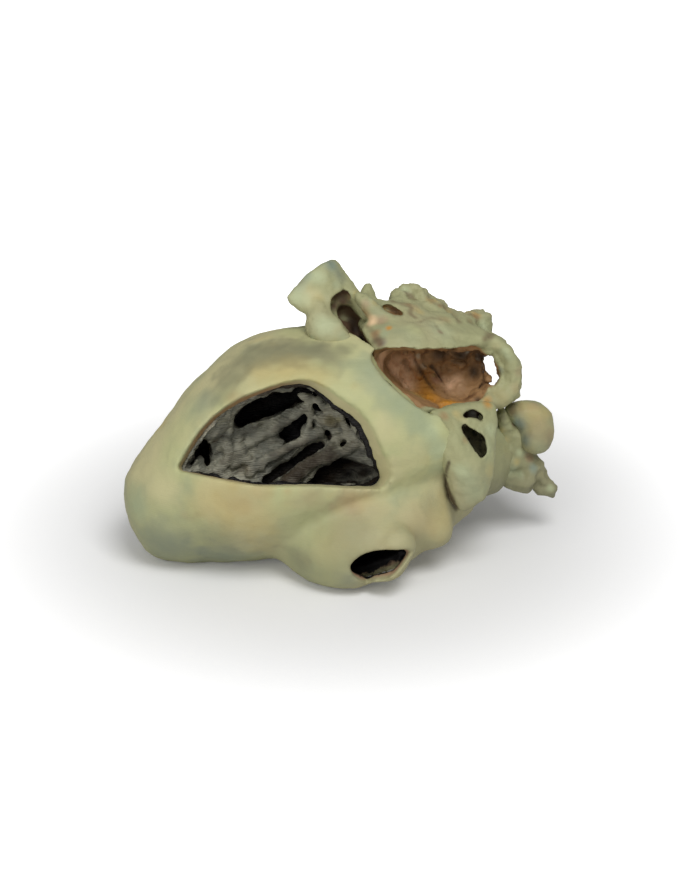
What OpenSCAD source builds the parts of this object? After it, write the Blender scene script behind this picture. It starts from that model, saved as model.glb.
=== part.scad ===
// Dog heart for the anatomy bench, lying on its right side with windows cut into its chambers.
// The apex points along -X, the base with the atria and vessels along +X, and the left side is up.
// The long axis has its own frame: x to the heart's left, y to its caudal side, z from apex to base.
// The base frame stands on the plane between ventricles and atria, with z outwards through the atria.

/* [Ventricles] */
// Length from the apex to the base plane, along the long axis
ventricle_l = 84; // [70:1:100]
// Greatest width of the left ventricle
ventricle_w = 66; // [56:1:76]
// Width of the right ventricle from its cranial to its caudal side
right_lobe_w = 80; // [72:1:88]
// Height of the right ventricle's lobe under the left one
right_lobe_h = 32; // [28:1:36]
// Thickness of the left ventricle's wall
left_wall = 6.5; // [5:0.5:8]
// Depth of the muscle that lines the left ventricle's inner wall
ridge_t = 2; // [1.4:0.2:3]
// Thickness of the right ventricle's wall
right_wall = 4; // [3:0.5:5.5]

/* [Windows] */
// Length of the large window into the left ventricle
left_window_l = 59; // [50:1:68]
// Height of the large window into the left ventricle
left_window_h = 30.5; // [26:1:36]
// Length of the small window into the right ventricle
right_window_l = 20; // [14:1:24]
// Height of the small window into the right ventricle
right_window_h = 15; // [11:1:18]
// Width of the window into the left atrium
atrium_window_w = 33; // [26:1:38]
// Height of the window into the left atrium
atrium_window_h = 21; // [16:1:25]

/* [Atria and vessels] */
// Height of the atria over the base plane
atria_h = 38; // [32:1:44]
// Width of the left atrium
left_atrium_w = 42; // [38:1:48]
// Width of the right atrium
right_atrium_w = 34; // [30:1:40]
// Thickness of the atrial walls
atrium_wall = 2.4; // [1.8:0.2:3.4]
// Thickness of the fibrous plate between ventricles and atria
skeleton_t = 3; // [2:0.5:4]
// Width of the left auricle
auricle_w = 22; // [18:1:26]
// Outer diameter of the aorta
aorta_d = 17; // [14:0.5:17]
// Outer diameter of the pulmonary trunk
pulmonary_d = 16; // [14:0.5:17]
// Outer diameter of the two venae cavae
cava_d = 16; // [13:0.5:17]
// Thickness of the vessel walls
vessel_wall = 2; // [1.4:0.2:2.6]

/* [Valves and cords] */
// Bore of the opening under the left atrium
mitral_d = 20; // [18:0.5:21]
// Bore of the opening under the right atrium
tricuspid_d = 12; // [10:0.5:13]
// Thickness of the valve leaflets
leaflet_t = 1.2; // [0.9:0.1:1.8]
// Thickness of a tendinous cord
cord_d = 1.6; // [1.2:0.1:2.2]
// Thickness of a muscle strand across a chamber
strand_d = 4; // [3:0.2:5]
// Diameter of a coronary artery
artery_d = 2.6; // [1.8:0.2:3.4]

/* [Hidden] */

// Lie of the heart on the table: turn away from the front, climb towards the base
axis_turn = 8;
axis_climb = 15;
// Lean of the base plane against the long axis
base_lean = 28;
base_tip = 13;
// Height over the horizon that the windows face
window_climb = 25;
half_w = ventricle_w / 2;
half_lobe_w = right_lobe_w / 2;
half_lobe_h = right_lobe_h / 2;
// Under each ventricle: how deep it reaches under the long axis, and at which level
left_reach_share = 0.873;
left_reach_level = 0.357;
right_reach_share = 2.28;
right_reach_level = 0.62;
// How much the table flattens the lowest ventricle
flat_share = 0.031;
// The apex, over the table and from the point under the middle of the heart
function apex_over(reach, level) = reach * cos(axis_climb) - level * ventricle_l * sin(axis_climb);
apex_climb = max(apex_over(right_reach_share * half_lobe_h, right_reach_level),
    apex_over(left_reach_share * half_w, left_reach_level));
apex_at_shares = [-0.8, -0.147, -flat_share];
apex_at = ventricle_l * apex_at_shares + [0, 0, apex_climb];
half_atrium = left_atrium_w / 2;
half_right_atrium = right_atrium_w / 2;
// Units of the base frame: across the base plane twice, then up through the atria
base_units = [half_w, half_w, atria_h];
// The same, but reaching caudally to the wall of the left atrium
groove_units = [half_w, 0.12 * half_w + 0.9 * half_atrium, atria_h];
// The same, reaching to the outer wall of the right atrium
right_groove_units = [0.67 * half_w + 0.98 * half_right_atrium, 0.1 * half_w + half_right_atrium, atria_h];
// Size of the blocks that trim the heart, and overrun of a cut
trim = 3 * ventricle_l;
over = 1;
// Sides of lofts, tubes, beads and cords, and rings between two rows of a table
loft_sides = 20;
atrium_sides = 16;
tube_sides = 12;
bead_sides = 8;
cord_sides = 6;
rings_per_row = 2;

// Left ventricle, row by row: level, centre towards the left side, radius, and how much of the
// radius the septum leaves on the right side
left_shares = [[0, -0.2, 0.12, 1], [0.025, -0.2, 0.34, 1], [0.095, -0.19, 0.5, 1], [0.214, -0.13, 0.66, 1],
    [0.357, -0.035, 0.838, 1], [0.5, 0.036, 0.96, 0.95], [0.643, 0.085, 0.99, 0.85], [0.8, 0.1, 0.93, 0.78],
    [1, 0.085, 0.85, 0.75], [1.26, 0.03, 0.72, 0.75]];
// Right ventricle, row by row: level, centre to the left and caudally, half height, half width
right_shares = [[0.44, -1.2, 0.1, 0.3, 0.3], [0.53, -1.3, 0.1, 0.72, 0.62], [0.62, -1.36, 0.08, 0.92, 0.84],
    [0.73, -1.37, 0.07, 1, 0.95], [0.84, -1.37, 0.03, 1, 0.94], [0.95, -1.34, -0.02, 1.04, 0.88],
    [1.08, -1.26, -0.06, 1.1, 0.8], [1.28, -1.16, -0.1, 1, 0.64]];
// Squareness of the right ventricle's section under and over its middle, 1 for an ellipse
right_square_share = [0.62, 1.1];
// Outflow of the right ventricle on the cranial side: to the left, caudally, level, and its radii
conus_shares = [[-0.55, -0.66, 0.6], [-0.2, -0.84, 0.78], [0.2, -0.86, 0.95], [0.42, -0.78, 1.12]];
conus_r_shares = [0.36, 0.37, 0.36, 0.34];

// Large window: level, angle round the long axis, lean to the apex, turn in its own plane
left_window_level_share = 0.62;
left_window_angle = 65;
left_window_lean = 14;
left_window_turn = -22;
// Outline of the large window: places and radii of the circles round it
left_window_shares = [[-0.415, -0.213, 0.06], [-0.034, 0.23, 0.33], [0.144, 0.36, 0.37],
    [0.322, 0.262, 0.295], [0.458, -0.082, 0.18]];
// Small window: its place in the heart's frame, and how far it faces downwards
right_window_at_shares = [-0.8, 0.6, 0.88];
right_window_dip = 18;
// Window of the left atrium: its middle in the base frame, and the circles round its outline
atrium_window_at_shares = [0.2, 0.3, 0.42];
atrium_window_shares = [[-0.5, 0.3, 0.06], [0.36, 0.3, 0.08], [0.5, 0.05, 0.1], [0.4, -0.28, 0.14],
    [-0.1, -0.5, 0.16], [-0.5, 0, 0.14]];
// Opening at the outer end of the left atrium: its middle, half width and half height
vein_hole_at_shares = [-0.18, 0.38, 0.82];
vein_hole_share = [0.14, 0.28];

// Left atrium in the base frame, row by row: height, centre, half width, half depth
left_atrium_shares = [[0, 0.3, 0.09, 0.81, 0.81], [0.21, 0.3, 0.09, 0.92, 0.9], [0.42, 0.2, 0.12, 0.95, 0.9],
    [0.63, 0.07, 0.15, 0.88, 0.8], [0.82, -0.07, 0.18, 0.68, 0.62], [0.97, -0.12, 0.21, 0.38, 0.36]];
// Right atrium in the base frame, in the same order
right_atrium_shares = [[0, -0.62, 0.06, 0.86, 0.95], [0.26, -0.67, 0.12, 0.98, 1.04],
    [0.53, -0.76, 0.13, 0.88, 0.84], [0.74, -0.88, 0.14, 0.6, 0.52], [0.84, -0.92, 0.14, 0.34, 0.3]];
// Left auricle: places in the base frame and radii from its root, then the corners of its ear
auricle_shares = [[0.92, -0.1, 0], [1.04, -0.2, 0.03], [1.18, -0.31, 0.13]];
auricle_r_shares = [0.86, 0.66, 0.66];
ear_shares = [[1.26, -0.48, 0.04], [1.34, -0.42, 0.36], [1.2, -0.22, 0.29], [1.08, -0.28, 0.08]];
ear_r_shares = [0.4, 0.38, 0.34, 0.46];
// Torn rim from the auricle along the atrium's wall
auricle_rim_shares = [[1.16, -0.2, 0.24], [1.02, -0.2, 0.34], [0.9, -0.12, 0.32], [0.8, 0.02, 0.2]];
auricle_rim_r_shares = [0.34, 0.3, 0.3, 0.3];
// Open lumen of the left auricle, down to the atrium
auricle_lumen_shares = [[1.16, -0.06, 0.24], [1, 0.02, 0.2]];
auricle_lumen_r_shares = [0.36, 0.34];
// Wall behind the lumen, between the ear and the rim
auricle_web_shares = [[1.2, -0.28, 0.26], [1.04, -0.24, 0.34], [1.04, -0.28, 0.1], [0.9, -0.16, 0.24]];
auricle_web_r_share = 0.24;
// Ring of tissue round the outer end of the left atrium
ring_shares = [[0.28, 0.28, 0.84], [0.1, 0.36, 0.9], [-0.08, 0.4, 0.98], [-0.23, 0.41, 0.99],
    [-0.38, 0.42, 0.91], [-0.45, 0.43, 0.79], [-0.4, 0.45, 0.64], [-0.3, 0.45, 0.5]];
ring_r_shares = [0.16, 0.19, 0.2, 0.2, 0.2, 0.2, 0.18, 0.14];
// Pulmonary veins: the stump by the auricle, then the folded stumps along the roof
knob_shares = [[0.7, -0.12, 0.42], [0.84, -0.14, 0.42], [0.95, -0.2, 0.48], [1.02, -0.27, 0.53]];
knob_r_shares = [0.16, 0.14, 0.11, 0.07];
vein_shares = [[0.66, -0.12, 0.46], [0.66, -0.2, 0.6], [0.65, -0.22, 0.71], [0.58, -0.17, 0.78],
    [0.46, -0.09, 0.82], [0.36, -0.01, 0.86], [0.24, 0.04, 0.95], [0.18, 0.1, 0.92]];
vein_r_shares = [0.18, 0.18, 0.17, 0.17, 0.15, 0.13, 0.16, 0.14];
// Lumens of the pulmonary veins, from the atrium outwards
vein_lumen_shares = [[[0.6, -0.06, 0.5], [0.78, -0.24, 0.8]], [[0.1, 0.02, 0.8], [0.28, 0.02, 1.08]]];
vein_lumen_r_share = 0.06;
// Coronary sinus: from its lumen to the tip that hangs over the groove
sinus_shares = [[-0.16, 0.9, 0.38], [-0.34, 0.95, 0.3], [-0.54, 0.98, 0.12], [-0.78, 0.9, -0.14]];
sinus_r_shares = [0.31, 0.42, 0.46, 0.27];
sinus_lumen_shares = [[-0.12, 1.15, 0.32], [-0.3, 1.24, 0.26], [-0.42, 1.27, 0.16]];
sinus_lumen_r_shares = [0.16, 0.24, 0.16];
// Right auricle, round the cranial side
right_auricle_shares = [[-0.7, -0.3, 0.3], [-0.6, -0.6, 0.4], [-0.3, -0.94, 0.42], [0.05, -1.08, 0.36]];
right_auricle_r_shares = [0.32, 0.36, 0.3, 0.18];
// Great vessels: paths in the base frame from root to lip
aorta_shares = [[-0.06, -0.46, 0], [0, -0.52, 0.4], [0, -0.58, 0.94]];
pulmonary_shares = [[0.52, -0.8, 0], [0.5, -0.84, 0.25], [0.3, -0.86, 0.6]];
cranial_cava_shares = [[-0.66, -0.2, 0.35], [-0.58, -0.5, 0.62], [-0.5, -0.74, 0.86]];
caudal_cava_shares = [[-0.84, 0.2, 0.5], [-0.95, 0.2, 0.76], [-1, 0.17, 1]];
// Azygos vein: places and radii, then the side branch at its end
azygos_shares = [[-0.98, 0.14, 0.6], [-1.26, 0.05, 0.74], [-1.54, -0.06, 0.84], [-1.82, -0.2, 0.94]];
azygos_r_shares = [0.8, 0.98, 0.82, 0.55];
azygos_side_shares = [[-1.2, 0.1, 0.62], [-1.46, -0.03, 0.66]];
azygos_side_r_shares = [0.7, 0.62];
azygos_lumen_shares = [[-1.72, -0.06, 0.76], [-1.56, -0.1, 0.82]];
azygos_lumen_r_share = 0.3;
// Fat in the groove round the right atrium: places and radii
fat_shares = [[-0.93, 0.4, 0.4], [-0.98, 0.05, 0.3], [-0.97, -0.33, 0.24]];
fat_r_shares = [0.36, 0.36, 0.33];
// Coronary arteries on the cranial side: level and angle round the long axis
artery_shares = [[0.84, -48], [0.72, -53], [0.58, -61], [0.44, -69], [0.3, -75], [0.2, -78]];
artery_branch_shares = [[0.72, -53], [0.6, -44], [0.48, -42]];

// Papillary muscles: level, angle and depth from root to tip, then their radii
cranial_muscle_shares = [[0.42, 308, 1], [0.54, 308, 0.88], [0.66, 310, 0.7], [0.76, 314, 0.5]];
caudal_muscle_shares = [[0.34, 152, 1], [0.46, 148, 0.88], [0.58, 142, 0.72], [0.68, 132, 0.5]];
muscle_r_shares = [0.22, 0.2, 0.15, 0.09];
// How far the open chamber lies before its far wall: to the right, to the front, up
open_shares = [0.15, -0.62, 0.09];
// Pockets in the muscle of the far wall, upright before the window: two ends with their radii
pocket_shares = [[[-0.237, 0.153, 0.03], [-0.104, 0.214, 0.06]],
    [[-0.104, 0.214, 0.06], [0.049, 0.255, 0.035]], [[-0.012, 0.076, 0.025], [0.085, 0.132, 0.035]],
    [[-0.094, -0.154, 0.025], [0.162, 0.01, 0.035]], [[0.223, -0.031, 0.015], [0.31, 0.02, 0.02]],
    [[0.197, -0.159, 0.03], [0.402, -0.149, 0.05]], [[0.085, 0.296, 0.015], [0.167, 0.26, 0.02]],
    [[-0.426, 0.015, 0.025], [-0.385, 0.015, 0.025]], [[-0.38, -0.067, 0.025], [-0.288, -0.082, 0.02]]];
// Strands across the chamber in the same view: places with their depths, then the radii
strand_shares = [[[-0.06, -0.24, -0.08], [0.11, -0.07, 0.15], [0.24, 0.02, -0.26]],
    [[-0.19, -0.13, -0.14], [-0.02, -0.03, 0.09], [0.08, 0.05, -0.16]]];
strand_r_shares = [1.1, 0.8, 1];
// Middle of the view: level on the long axis
view_level_share = 0.62;
// Free space round the leaflets and cords, in leaflet thicknesses
inflow_room_share = 4;

// Right ventricle's papillary muscles on the septum: level and angle of the root, of the tip, and radii
right_muscle_shares = [[[0.62, 165], [0.74, 168]], [[0.7, 190], [0.8, 188]], [[0.66, 212], [0.78, 206]]];
right_muscle_r_shares = [0.16, 0.08];
right_muscle_lift_share = 0.16;
// Band across the right ventricle: level and angle of its ends on the septum and on the outer wall
band_shares = [[0.66, 200], [0.6, 218]];

// Openings in the fibrous plate: their middles in the base frame
mitral_at_shares = [0.18, 0.1, 0];
tricuspid_at_shares = [-0.78, 0.14, 0];
// Outline of the fibrous plate: places and radii of the circles round it
plate_shares = [[0.08, 0, 0.76], [-0.7, -0.05, 0.46]];
// Depth and shape of the leaflets, as shares of the openings they close
leaflet_drop_share = 0.62;
leaflet_rows_shares = [[0, 1], [0.34, 0.98], [0.7, 0.84], [1, 0.66]];

// Value of a table of rows at a place along it, on a smooth curve through the rows
function row_at(rows, i) = rows[max(0, min(len(rows) - 1, i))];
function blend_rows(a, b, c, d, t) =
    b + t / 2 * (c - a + t * (2 * a - 5 * b + 4 * c - d + t * (3 * (b - c) + d - a)));
function smooth_row(rows, i, t) =
    blend_rows(row_at(rows, i - 1), row_at(rows, i), row_at(rows, i + 1), row_at(rows, i + 2), t);
function smooth_rows(rows, steps) =
    [for (i = [0 : len(rows) - 2]) for (k = [0 : steps - 1]) smooth_row(rows, i, k / steps),
     rows[len(rows) - 1]];

// Places in a frame from a table of shares
function placed(shares, units) = [for (s = shares) [s.x * units.x, s.y * units.y, s.z * units.z]];
function base_place(share) = placed([share], base_units)[0];

// Turns of a point about an axis, and the base frame's place on the table
function turn_x(p, a) = [p.x, p.y * cos(a) - p.z * sin(a), p.y * sin(a) + p.z * cos(a)];
function turn_y(p, a) = [p.x * cos(a) + p.z * sin(a), p.y, p.z * cos(a) - p.x * sin(a)];
function turn_z(p, a) = [p.x * cos(a) - p.y * sin(a), p.x * sin(a) + p.y * cos(a), p.z];
function base_to_heart(p) = turn_y(turn_x(p, base_lean), base_tip) + [0, 0, ventricle_l];
function heart_to_base(p) = turn_x(turn_y(p - [0, 0, ventricle_l], -base_tip), -base_lean);
function heart_to_table(p) = turn_z(turn_y(turn_z(p, 180), 90 - axis_climb), axis_turn) + apex_at;

// Place on the left ventricle or, under its wall, in its chamber: level, angle, depth to the wall
function left_row(level) =
    let (i = max([for (k = [0 : len(left_shares) - 2]) left_shares[k][0] <= level ? k : 0]),
        a = left_shares[i], b = left_shares[i + 1])
    smooth_row(left_shares, i, (level - a[0]) / (b[0] - a[0]));
function in_left(level, angle, depth, wall) =
    let (p = left_section(left_row(level), angle, wall) * depth)
    [left_row(level)[1] * half_w + p.x, p.y, level * ventricle_l];
// Point of the left ventricle's section from its centre, flattened on the right by the septum
function left_section(row, angle, wall) =
    let (t = max(0, -cos(angle)), flat = 1 - (1 - row[3]) * t * t * (3 - 2 * t))
    [(row[2] * half_w * flat - wall) * cos(angle), (row[2] * half_w - wall) * sin(angle)];

// Rings of points closed into one skin with flat ends
function sum_of(ring, axis, i = 0) = i == len(ring) ? 0 : ring[i][axis] + sum_of(ring, axis, i + 1);
function middle(ring) = [for (axis = [0 : 2]) sum_of(ring, axis) / len(ring)];
module skin(rings) {
    n = len(rings[0]);
    last = len(rings) - 1;
    points = [for (ring = rings) each ring, middle(rings[0]), middle(rings[last])];
    sides = [for (r = [0 : last - 1]) for (i = [0 : n - 1])
        let (a = r * n + i, b = r * n + (i + 1) % n) each [[a, a + n, b], [b, a + n, b + n]]];
    foot = [for (i = [0 : n - 1]) [i, (i + 1) % n, len(points) - 2]];
    crown = [for (i = [0 : n - 1]) [last * n + (i + 1) % n, last * n + i, len(points) - 1]];
    polyhedron(points, concat(sides, foot, crown));
}

// Beads on a path, each one joined to the next
module beads(points, radii, sides = bead_sides) {
    for (i = [0 : len(points) - 2]) hull() {
        translate(points[i]) sphere(radii[i], $fn = sides);
        translate(points[i + 1]) sphere(radii[i + 1], $fn = sides);
    }
}
module base_beads(shares, radii) {
    on_base() beads(placed(shares, base_units), radii);
}

// Ellipse whose corners a square share below 1 pushes outwards, by its lower and upper half
function rounded(angle, half_x, half_y, square) =
    let (s = cos(angle) < 0 ? square[0] : square[1])
    [half_x * sign(cos(angle)) * pow(abs(cos(angle)), s),
     half_y * sign(sin(angle)) * pow(abs(sin(angle)), s)];

// Round bar along a path in the base frame, lengthened at both ends
module bar(shares, r, extra = 0) {
    path = smooth_rows(placed(shares, base_units), rings_per_row);
    last = len(path) - 1;
    function way(i) = path[min(i + 1, last)] - path[max(i - 1, 0)];
    on_base() skin([for (i = [0 : last])
        let (w = way(i), lean = atan2(norm([w.x, w.y]), w.z), heading = atan2(w.y, w.x),
            at = path[i] + (i == 0 ? -extra : i == last ? extra : 0) * w / norm(w))
        [for (k = [0 : tube_sides - 1])
            at + turn_z(turn_y(turn_z([r, 0, 0], 360 * k / tube_sides - heading), lean), heading)]]);
}
module vessel(shares, diameter) {
    difference() {
        bar(shares, diameter / 2);
        bar(shares, diameter / 2 - vessel_wall, over);
    }
}

module on_heart() {
    translate(apex_at) rotate([0, 90 - axis_climb, axis_turn]) rotate(180) children();
}
module on_base() {
    on_heart() translate([0, 0, ventricle_l]) rotate([base_lean, base_tip, 0]) children();
}
// Upright towards the side that the windows face, at a place in the base frame
module facing_window(share) {
    translate(heart_to_table(base_to_heart(base_place(share)))) rotate([90 - window_climb, 0, 0]) children();
}

module past_base() {
    on_base() translate([-trim / 2, -trim / 2, 0]) cube(trim);
}
module under_plate() {
    on_base() translate([-trim / 2, -trim / 2, skeleton_t - trim]) cube(trim);
}
module under_table() {
    translate([-trim / 2, -trim / 2, -trim]) cube(trim);
}

// The left ventricle's closed skin, or its chamber when a wall is given
module left_loft(wall = 0) {
    rows = [for (row = smooth_rows(left_shares, rings_per_row))
        if (row[2] * half_w > 1.2 * wall && row[0] * ventricle_l >= wall) row];
    on_heart() skin([for (row = rows) [for (i = [0 : loft_sides - 1])
        let (p = left_section(row, 360 * i / loft_sides, wall))
        [row[1] * half_w + p.x, p.y, row[0] * ventricle_l]]]);
}

// The right ventricle with its outflow, before the left one is cut out of it
module right_loft(wall = 0) {
    rows = [for (row = smooth_rows(right_shares, rings_per_row)) if (row[3] * half_lobe_h > 1.5 * wall) row];
    on_heart() skin([for (row = rows) [for (i = [0 : loft_sides - 1])
        let (p = rounded(360 * i / loft_sides, row[3] * half_lobe_h - wall, row[4] * half_lobe_w - wall,
            right_square_share))
        [row[1] * half_lobe_h + p.x, row[2] * half_lobe_w + p.y, row[0] * ventricle_l]]]);
    on_heart() beads(placed(conus_shares, [half_w, half_w, ventricle_l]),
        [for (s = conus_r_shares) s * half_w - wall], 2 * bead_sides);
}
// The right ventricle's chamber, between its wall and the septum
module right_chamber() {
    difference() {
        right_loft(right_wall);
        left_loft();
        past_base();
    }
}

// Closed skin of an atrium, or its chamber when a wall is given
module atrium_loft(rows, half, wall = 0) {
    top = row_at(rows, len(rows))[0] * atria_h - wall;
    kept = [for (row = smooth_rows(rows, rings_per_row))
        if (row[3] * half > 1.5 * wall && row[4] * half > 1.5 * wall && row[0] * atria_h <= top) row];
    on_base() skin([for (row = kept) [for (i = [0 : atrium_sides - 1])
        let (angle = 360 * i / atrium_sides)
        [row[1] * half_w + (row[3] * half - wall) * cos(angle),
         row[2] * half_w + (row[4] * half - wall) * sin(angle), row[0] * atria_h]]]);
}
// The heart's great masses, which the smaller pieces are seated on
module ventricles() {
    difference() {
        union() {
            left_loft();
            right_loft();
        }
        past_base();
    }
}
module left_mass() {
    atrium_loft(left_atrium_shares, half_atrium);
}
module right_mass() {
    atrium_loft(right_atrium_shares, half_right_atrium);
}

module left_window(inset = 0) {
    on_heart() translate([0, 0, left_window_level_share * ventricle_l]) rotate(left_window_angle)
        rotate([0, 90 + left_window_lean, 0]) rotate(180 + left_window_turn) linear_extrude(trim)
        offset(-inset) hull() for (s = left_window_shares)
            translate([s[0] * left_window_l, s[1] * left_window_h]) circle(s[2] * left_window_h, $fn = 24);
}
module right_window() {
    translate(heart_to_table(placed([right_window_at_shares], [half_w, half_w, ventricle_l])[0]))
        rotate([90 + right_window_dip, 0, 0]) linear_extrude(trim)
        scale([1, right_window_h / right_window_l]) circle(right_window_l / 2, $fn = 20);
}
module atrium_window() {
    facing_window(atrium_window_at_shares) linear_extrude(trim) hull() for (s = atrium_window_shares)
        translate([s[0] * atrium_window_w, s[1] * atrium_window_h]) circle(s[2] * atrium_window_w, $fn = 16);
}
// The opening that lets light through the outer end of the left atrium
module vein_hole() {
    facing_window(vein_hole_at_shares) translate([0, 0, -trim / 2]) linear_extrude(trim)
        scale(vein_hole_share) circle(half_atrium, $fn = 20);
}

module left_ventricle() {
    color("darkkhaki") difference() {
        left_loft();
        left_loft(left_wall);
        left_window();
        past_base();
        under_table();
    }
}
module right_ventricle() {
    color("darkkhaki") difference() {
        right_loft();
        right_loft(right_wall);
        left_loft();
        left_window();
        right_window();
        past_base();
        under_table();
    }
}

// Muscle of the far wall in the left ventricle, with pockets in it and strands before it
module trabeculae() {
    color("dimgray") difference() {
        union() {
            difference() {
                left_loft(left_wall);
                intersection() {
                    left_loft(left_wall + ridge_t);
                    union() {
                        translate(open_shares * half_w) left_loft(left_wall);
                        pockets();
                        inflow();
                    }
                }
            }
            difference() {
                intersection() {
                    left_loft(left_wall);
                    strands();
                }
                left_chordae();
            }
        }
        muscle(cranial_muscle_shares);
        muscle(caudal_muscle_shares);
        left_window(ridge_t);
        past_base();
    }
}
module pockets() {
    in_view() for (s = pocket_shares) translate([0, 0, -trim / 2]) linear_extrude(trim) hull()
        for (end = s) translate([end.x, end.y] * left_window_l)
            circle(end.z * left_window_l, $fn = bead_sides);
}
module strands() {
    in_view() for (s = strand_shares) beads(s * left_window_l, strand_r_shares * strand_d / 2);
}
// The plane that the large window is seen in, with the depth towards the front
module in_view() {
    translate(heart_to_table([0, 0, view_level_share * ventricle_l]))
        rotate([90 - window_climb, 0, 0]) children();
}
// Space that the leaflets and their cords keep open, down to the tips of the muscles
module inflow() {
    hull() {
        on_base() for (level = [0, -leaflet_drop_share * mitral_d])
            translate(base_place(mitral_at_shares) + [0, 0, level])
            cylinder(over, d = mitral_d + inflow_room_share * leaflet_t);
        on_heart() for (s = [cranial_muscle_shares, caudal_muscle_shares])
            translate(tip_of(s)) sphere(2 * cord_d, $fn = bead_sides);
    }
}

module muscle(shares) {
    on_heart() beads([for (s = shares) in_left(s[0], s[1], s[2], left_wall)], muscle_r_shares * half_w);
}
module papillary_muscle_cranial() {
    color("dimgray") intersection() {
        left_loft(left_wall);
        muscle(cranial_muscle_shares);
    }
}
module papillary_muscle_caudal() {
    color("dimgray") intersection() {
        left_loft(left_wall);
        muscle(caudal_muscle_shares);
    }
}

// Short muscles that stand on the septum in the right ventricle
module right_muscles() {
    on_heart() for (s = right_muscle_shares)
        beads([in_left(s[0][0], s[0][1], 1, 0), right_tip(s)], right_muscle_r_shares * half_w);
}
function right_tip(s) = in_left(s[1][0], s[1][1], 1, -right_muscle_lift_share * half_w);
module right_papillary_muscles() {
    color("dimgray") intersection() {
        right_chamber();
        right_muscles();
    }
}
module moderator_band() {
    color("dimgray") difference() {
        intersection() {
            right_chamber();
            on_heart() beads([in_left(band_shares[0][0], band_shares[0][1], 1, 0),
                in_left(band_shares[1][0], band_shares[1][1], 1, -half_lobe_h)], [1, 1] * strand_d / 2);
        }
        right_muscles();
    }
}

// Cords fan out from a muscle's tip to the edge of the leaflets
module cords(tip, at_share, bore, angles) {
    for (a = angles)
        beads([tip, base_to_heart(base_place(at_share) + leaflet_edge(a, bore))],
            [0.6, 0.3] * cord_d, cord_sides);
}
function leaflet_edge(angle, bore) =
    let (r = leaflet_rows_shares[3][1] * bore / 2 + leaflet_t / 2)
    [r * cos(angle), r * sin(angle), -leaflet_drop_share * bore * leaflet_swing(angle)];
// The leaflets reach deepest at their middles and shallowest where they meet
function leaflet_swing(angle) = 0.75 + 0.25 * abs(cos(angle));

module leaflets(bore) {
    function ring(row, wall) = [for (k = [0 : atrium_sides - 1])
        let (a = 360 * k / atrium_sides, r = row[1] * bore / 2 + leaflet_t - wall)
        [r * cos(a), r * sin(a), -row[0] * leaflet_drop_share * bore * leaflet_swing(a)]];
    rows = leaflet_rows_shares;
    last = len(rows) - 1;
    difference() {
        skin([for (i = [last : -1 : 0]) ring(rows[i], 0)]);
        skin([for (i = [last : -1 : 0]) ring(rows[i], leaflet_t)]);
    }
}

module left_chordae() {
    color("lightgray") difference() {
        on_heart() {
            cords(tip_of(cranial_muscle_shares), mitral_at_shares, mitral_d, [200, 240, 280, 320, 350]);
            cords(tip_of(caudal_muscle_shares), mitral_at_shares, mitral_d, [40, 70, 100, 130, 160]);
        }
        muscle(cranial_muscle_shares);
        muscle(caudal_muscle_shares);
        mitral_valve();
    }
}
function tip_of(shares) = let (s = shares[len(shares) - 1]) in_left(s[0], s[1], s[2], left_wall);

module right_chordae() {
    color("lightgray") difference() {
        intersection() {
            right_chamber();
            on_heart() for (i = [0 : len(right_muscle_shares) - 1])
                cords(right_tip(right_muscle_shares[i]), tricuspid_at_shares, tricuspid_d,
                    [for (a = [-30, 0, 30]) 90 + 90 * i + a]);
        }
        right_muscles();
        moderator_band();
        tricuspid_valve();
    }
}

module mitral_valve() {
    color("wheat") on_base() translate(base_place(mitral_at_shares)) leaflets(mitral_d);
}
module tricuspid_valve() {
    color("wheat") intersection() {
        right_chamber();
        on_base() translate(base_place(tricuspid_at_shares)) leaflets(tricuspid_d);
    }
}

// Three pocket-shaped cusps in the root of a great vessel
module cusps(shares, diameter) {
    bore = diameter - 2 * vessel_wall;
    difference() {
        intersection() {
            bar(shares, bore / 2);
            on_base() translate(base_place(shares[0]) + [0, 0, skeleton_t + bore / 2]) for (i = [0 : 2])
                rotate(120 * i) difference() {
                    cusp_ball(bore, 0, 1);
                    cusp_ball(bore, leaflet_t, 5);
                }
        }
        left_mass();
    }
}
module cusp_ball(bore, wall, top) {
    hull() for (end = [-1, top]) translate([bore / 3, 0, end * leaflet_t])
        sphere(bore / 4 - wall, $fn = bead_sides);
}
module aortic_valve() {
    color("wheat") cusps(aorta_shares, aorta_d);
}
module pulmonary_valve() {
    color("wheat") cusps(pulmonary_shares, pulmonary_d);
}

module fibrous_skeleton() {
    color("tan") on_base() difference() {
        linear_extrude(skeleton_t) plate_outline();
        for (hole = [[mitral_at_shares, mitral_d], [tricuspid_at_shares, tricuspid_d],
            [aorta_shares[0], aorta_d - 2 * vessel_wall]])
            translate(base_place(hole[0]) - [0, 0, over])
            cylinder(skeleton_t + 2 * over, d = hole[1], $fn = 2 * atrium_sides);
    }
}
module plate_outline() {
    hull() for (s = plate_shares) translate([s[0], s[1]] * half_w)
        circle(s[2] * half_w, $fn = 2 * atrium_sides);
}

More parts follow.
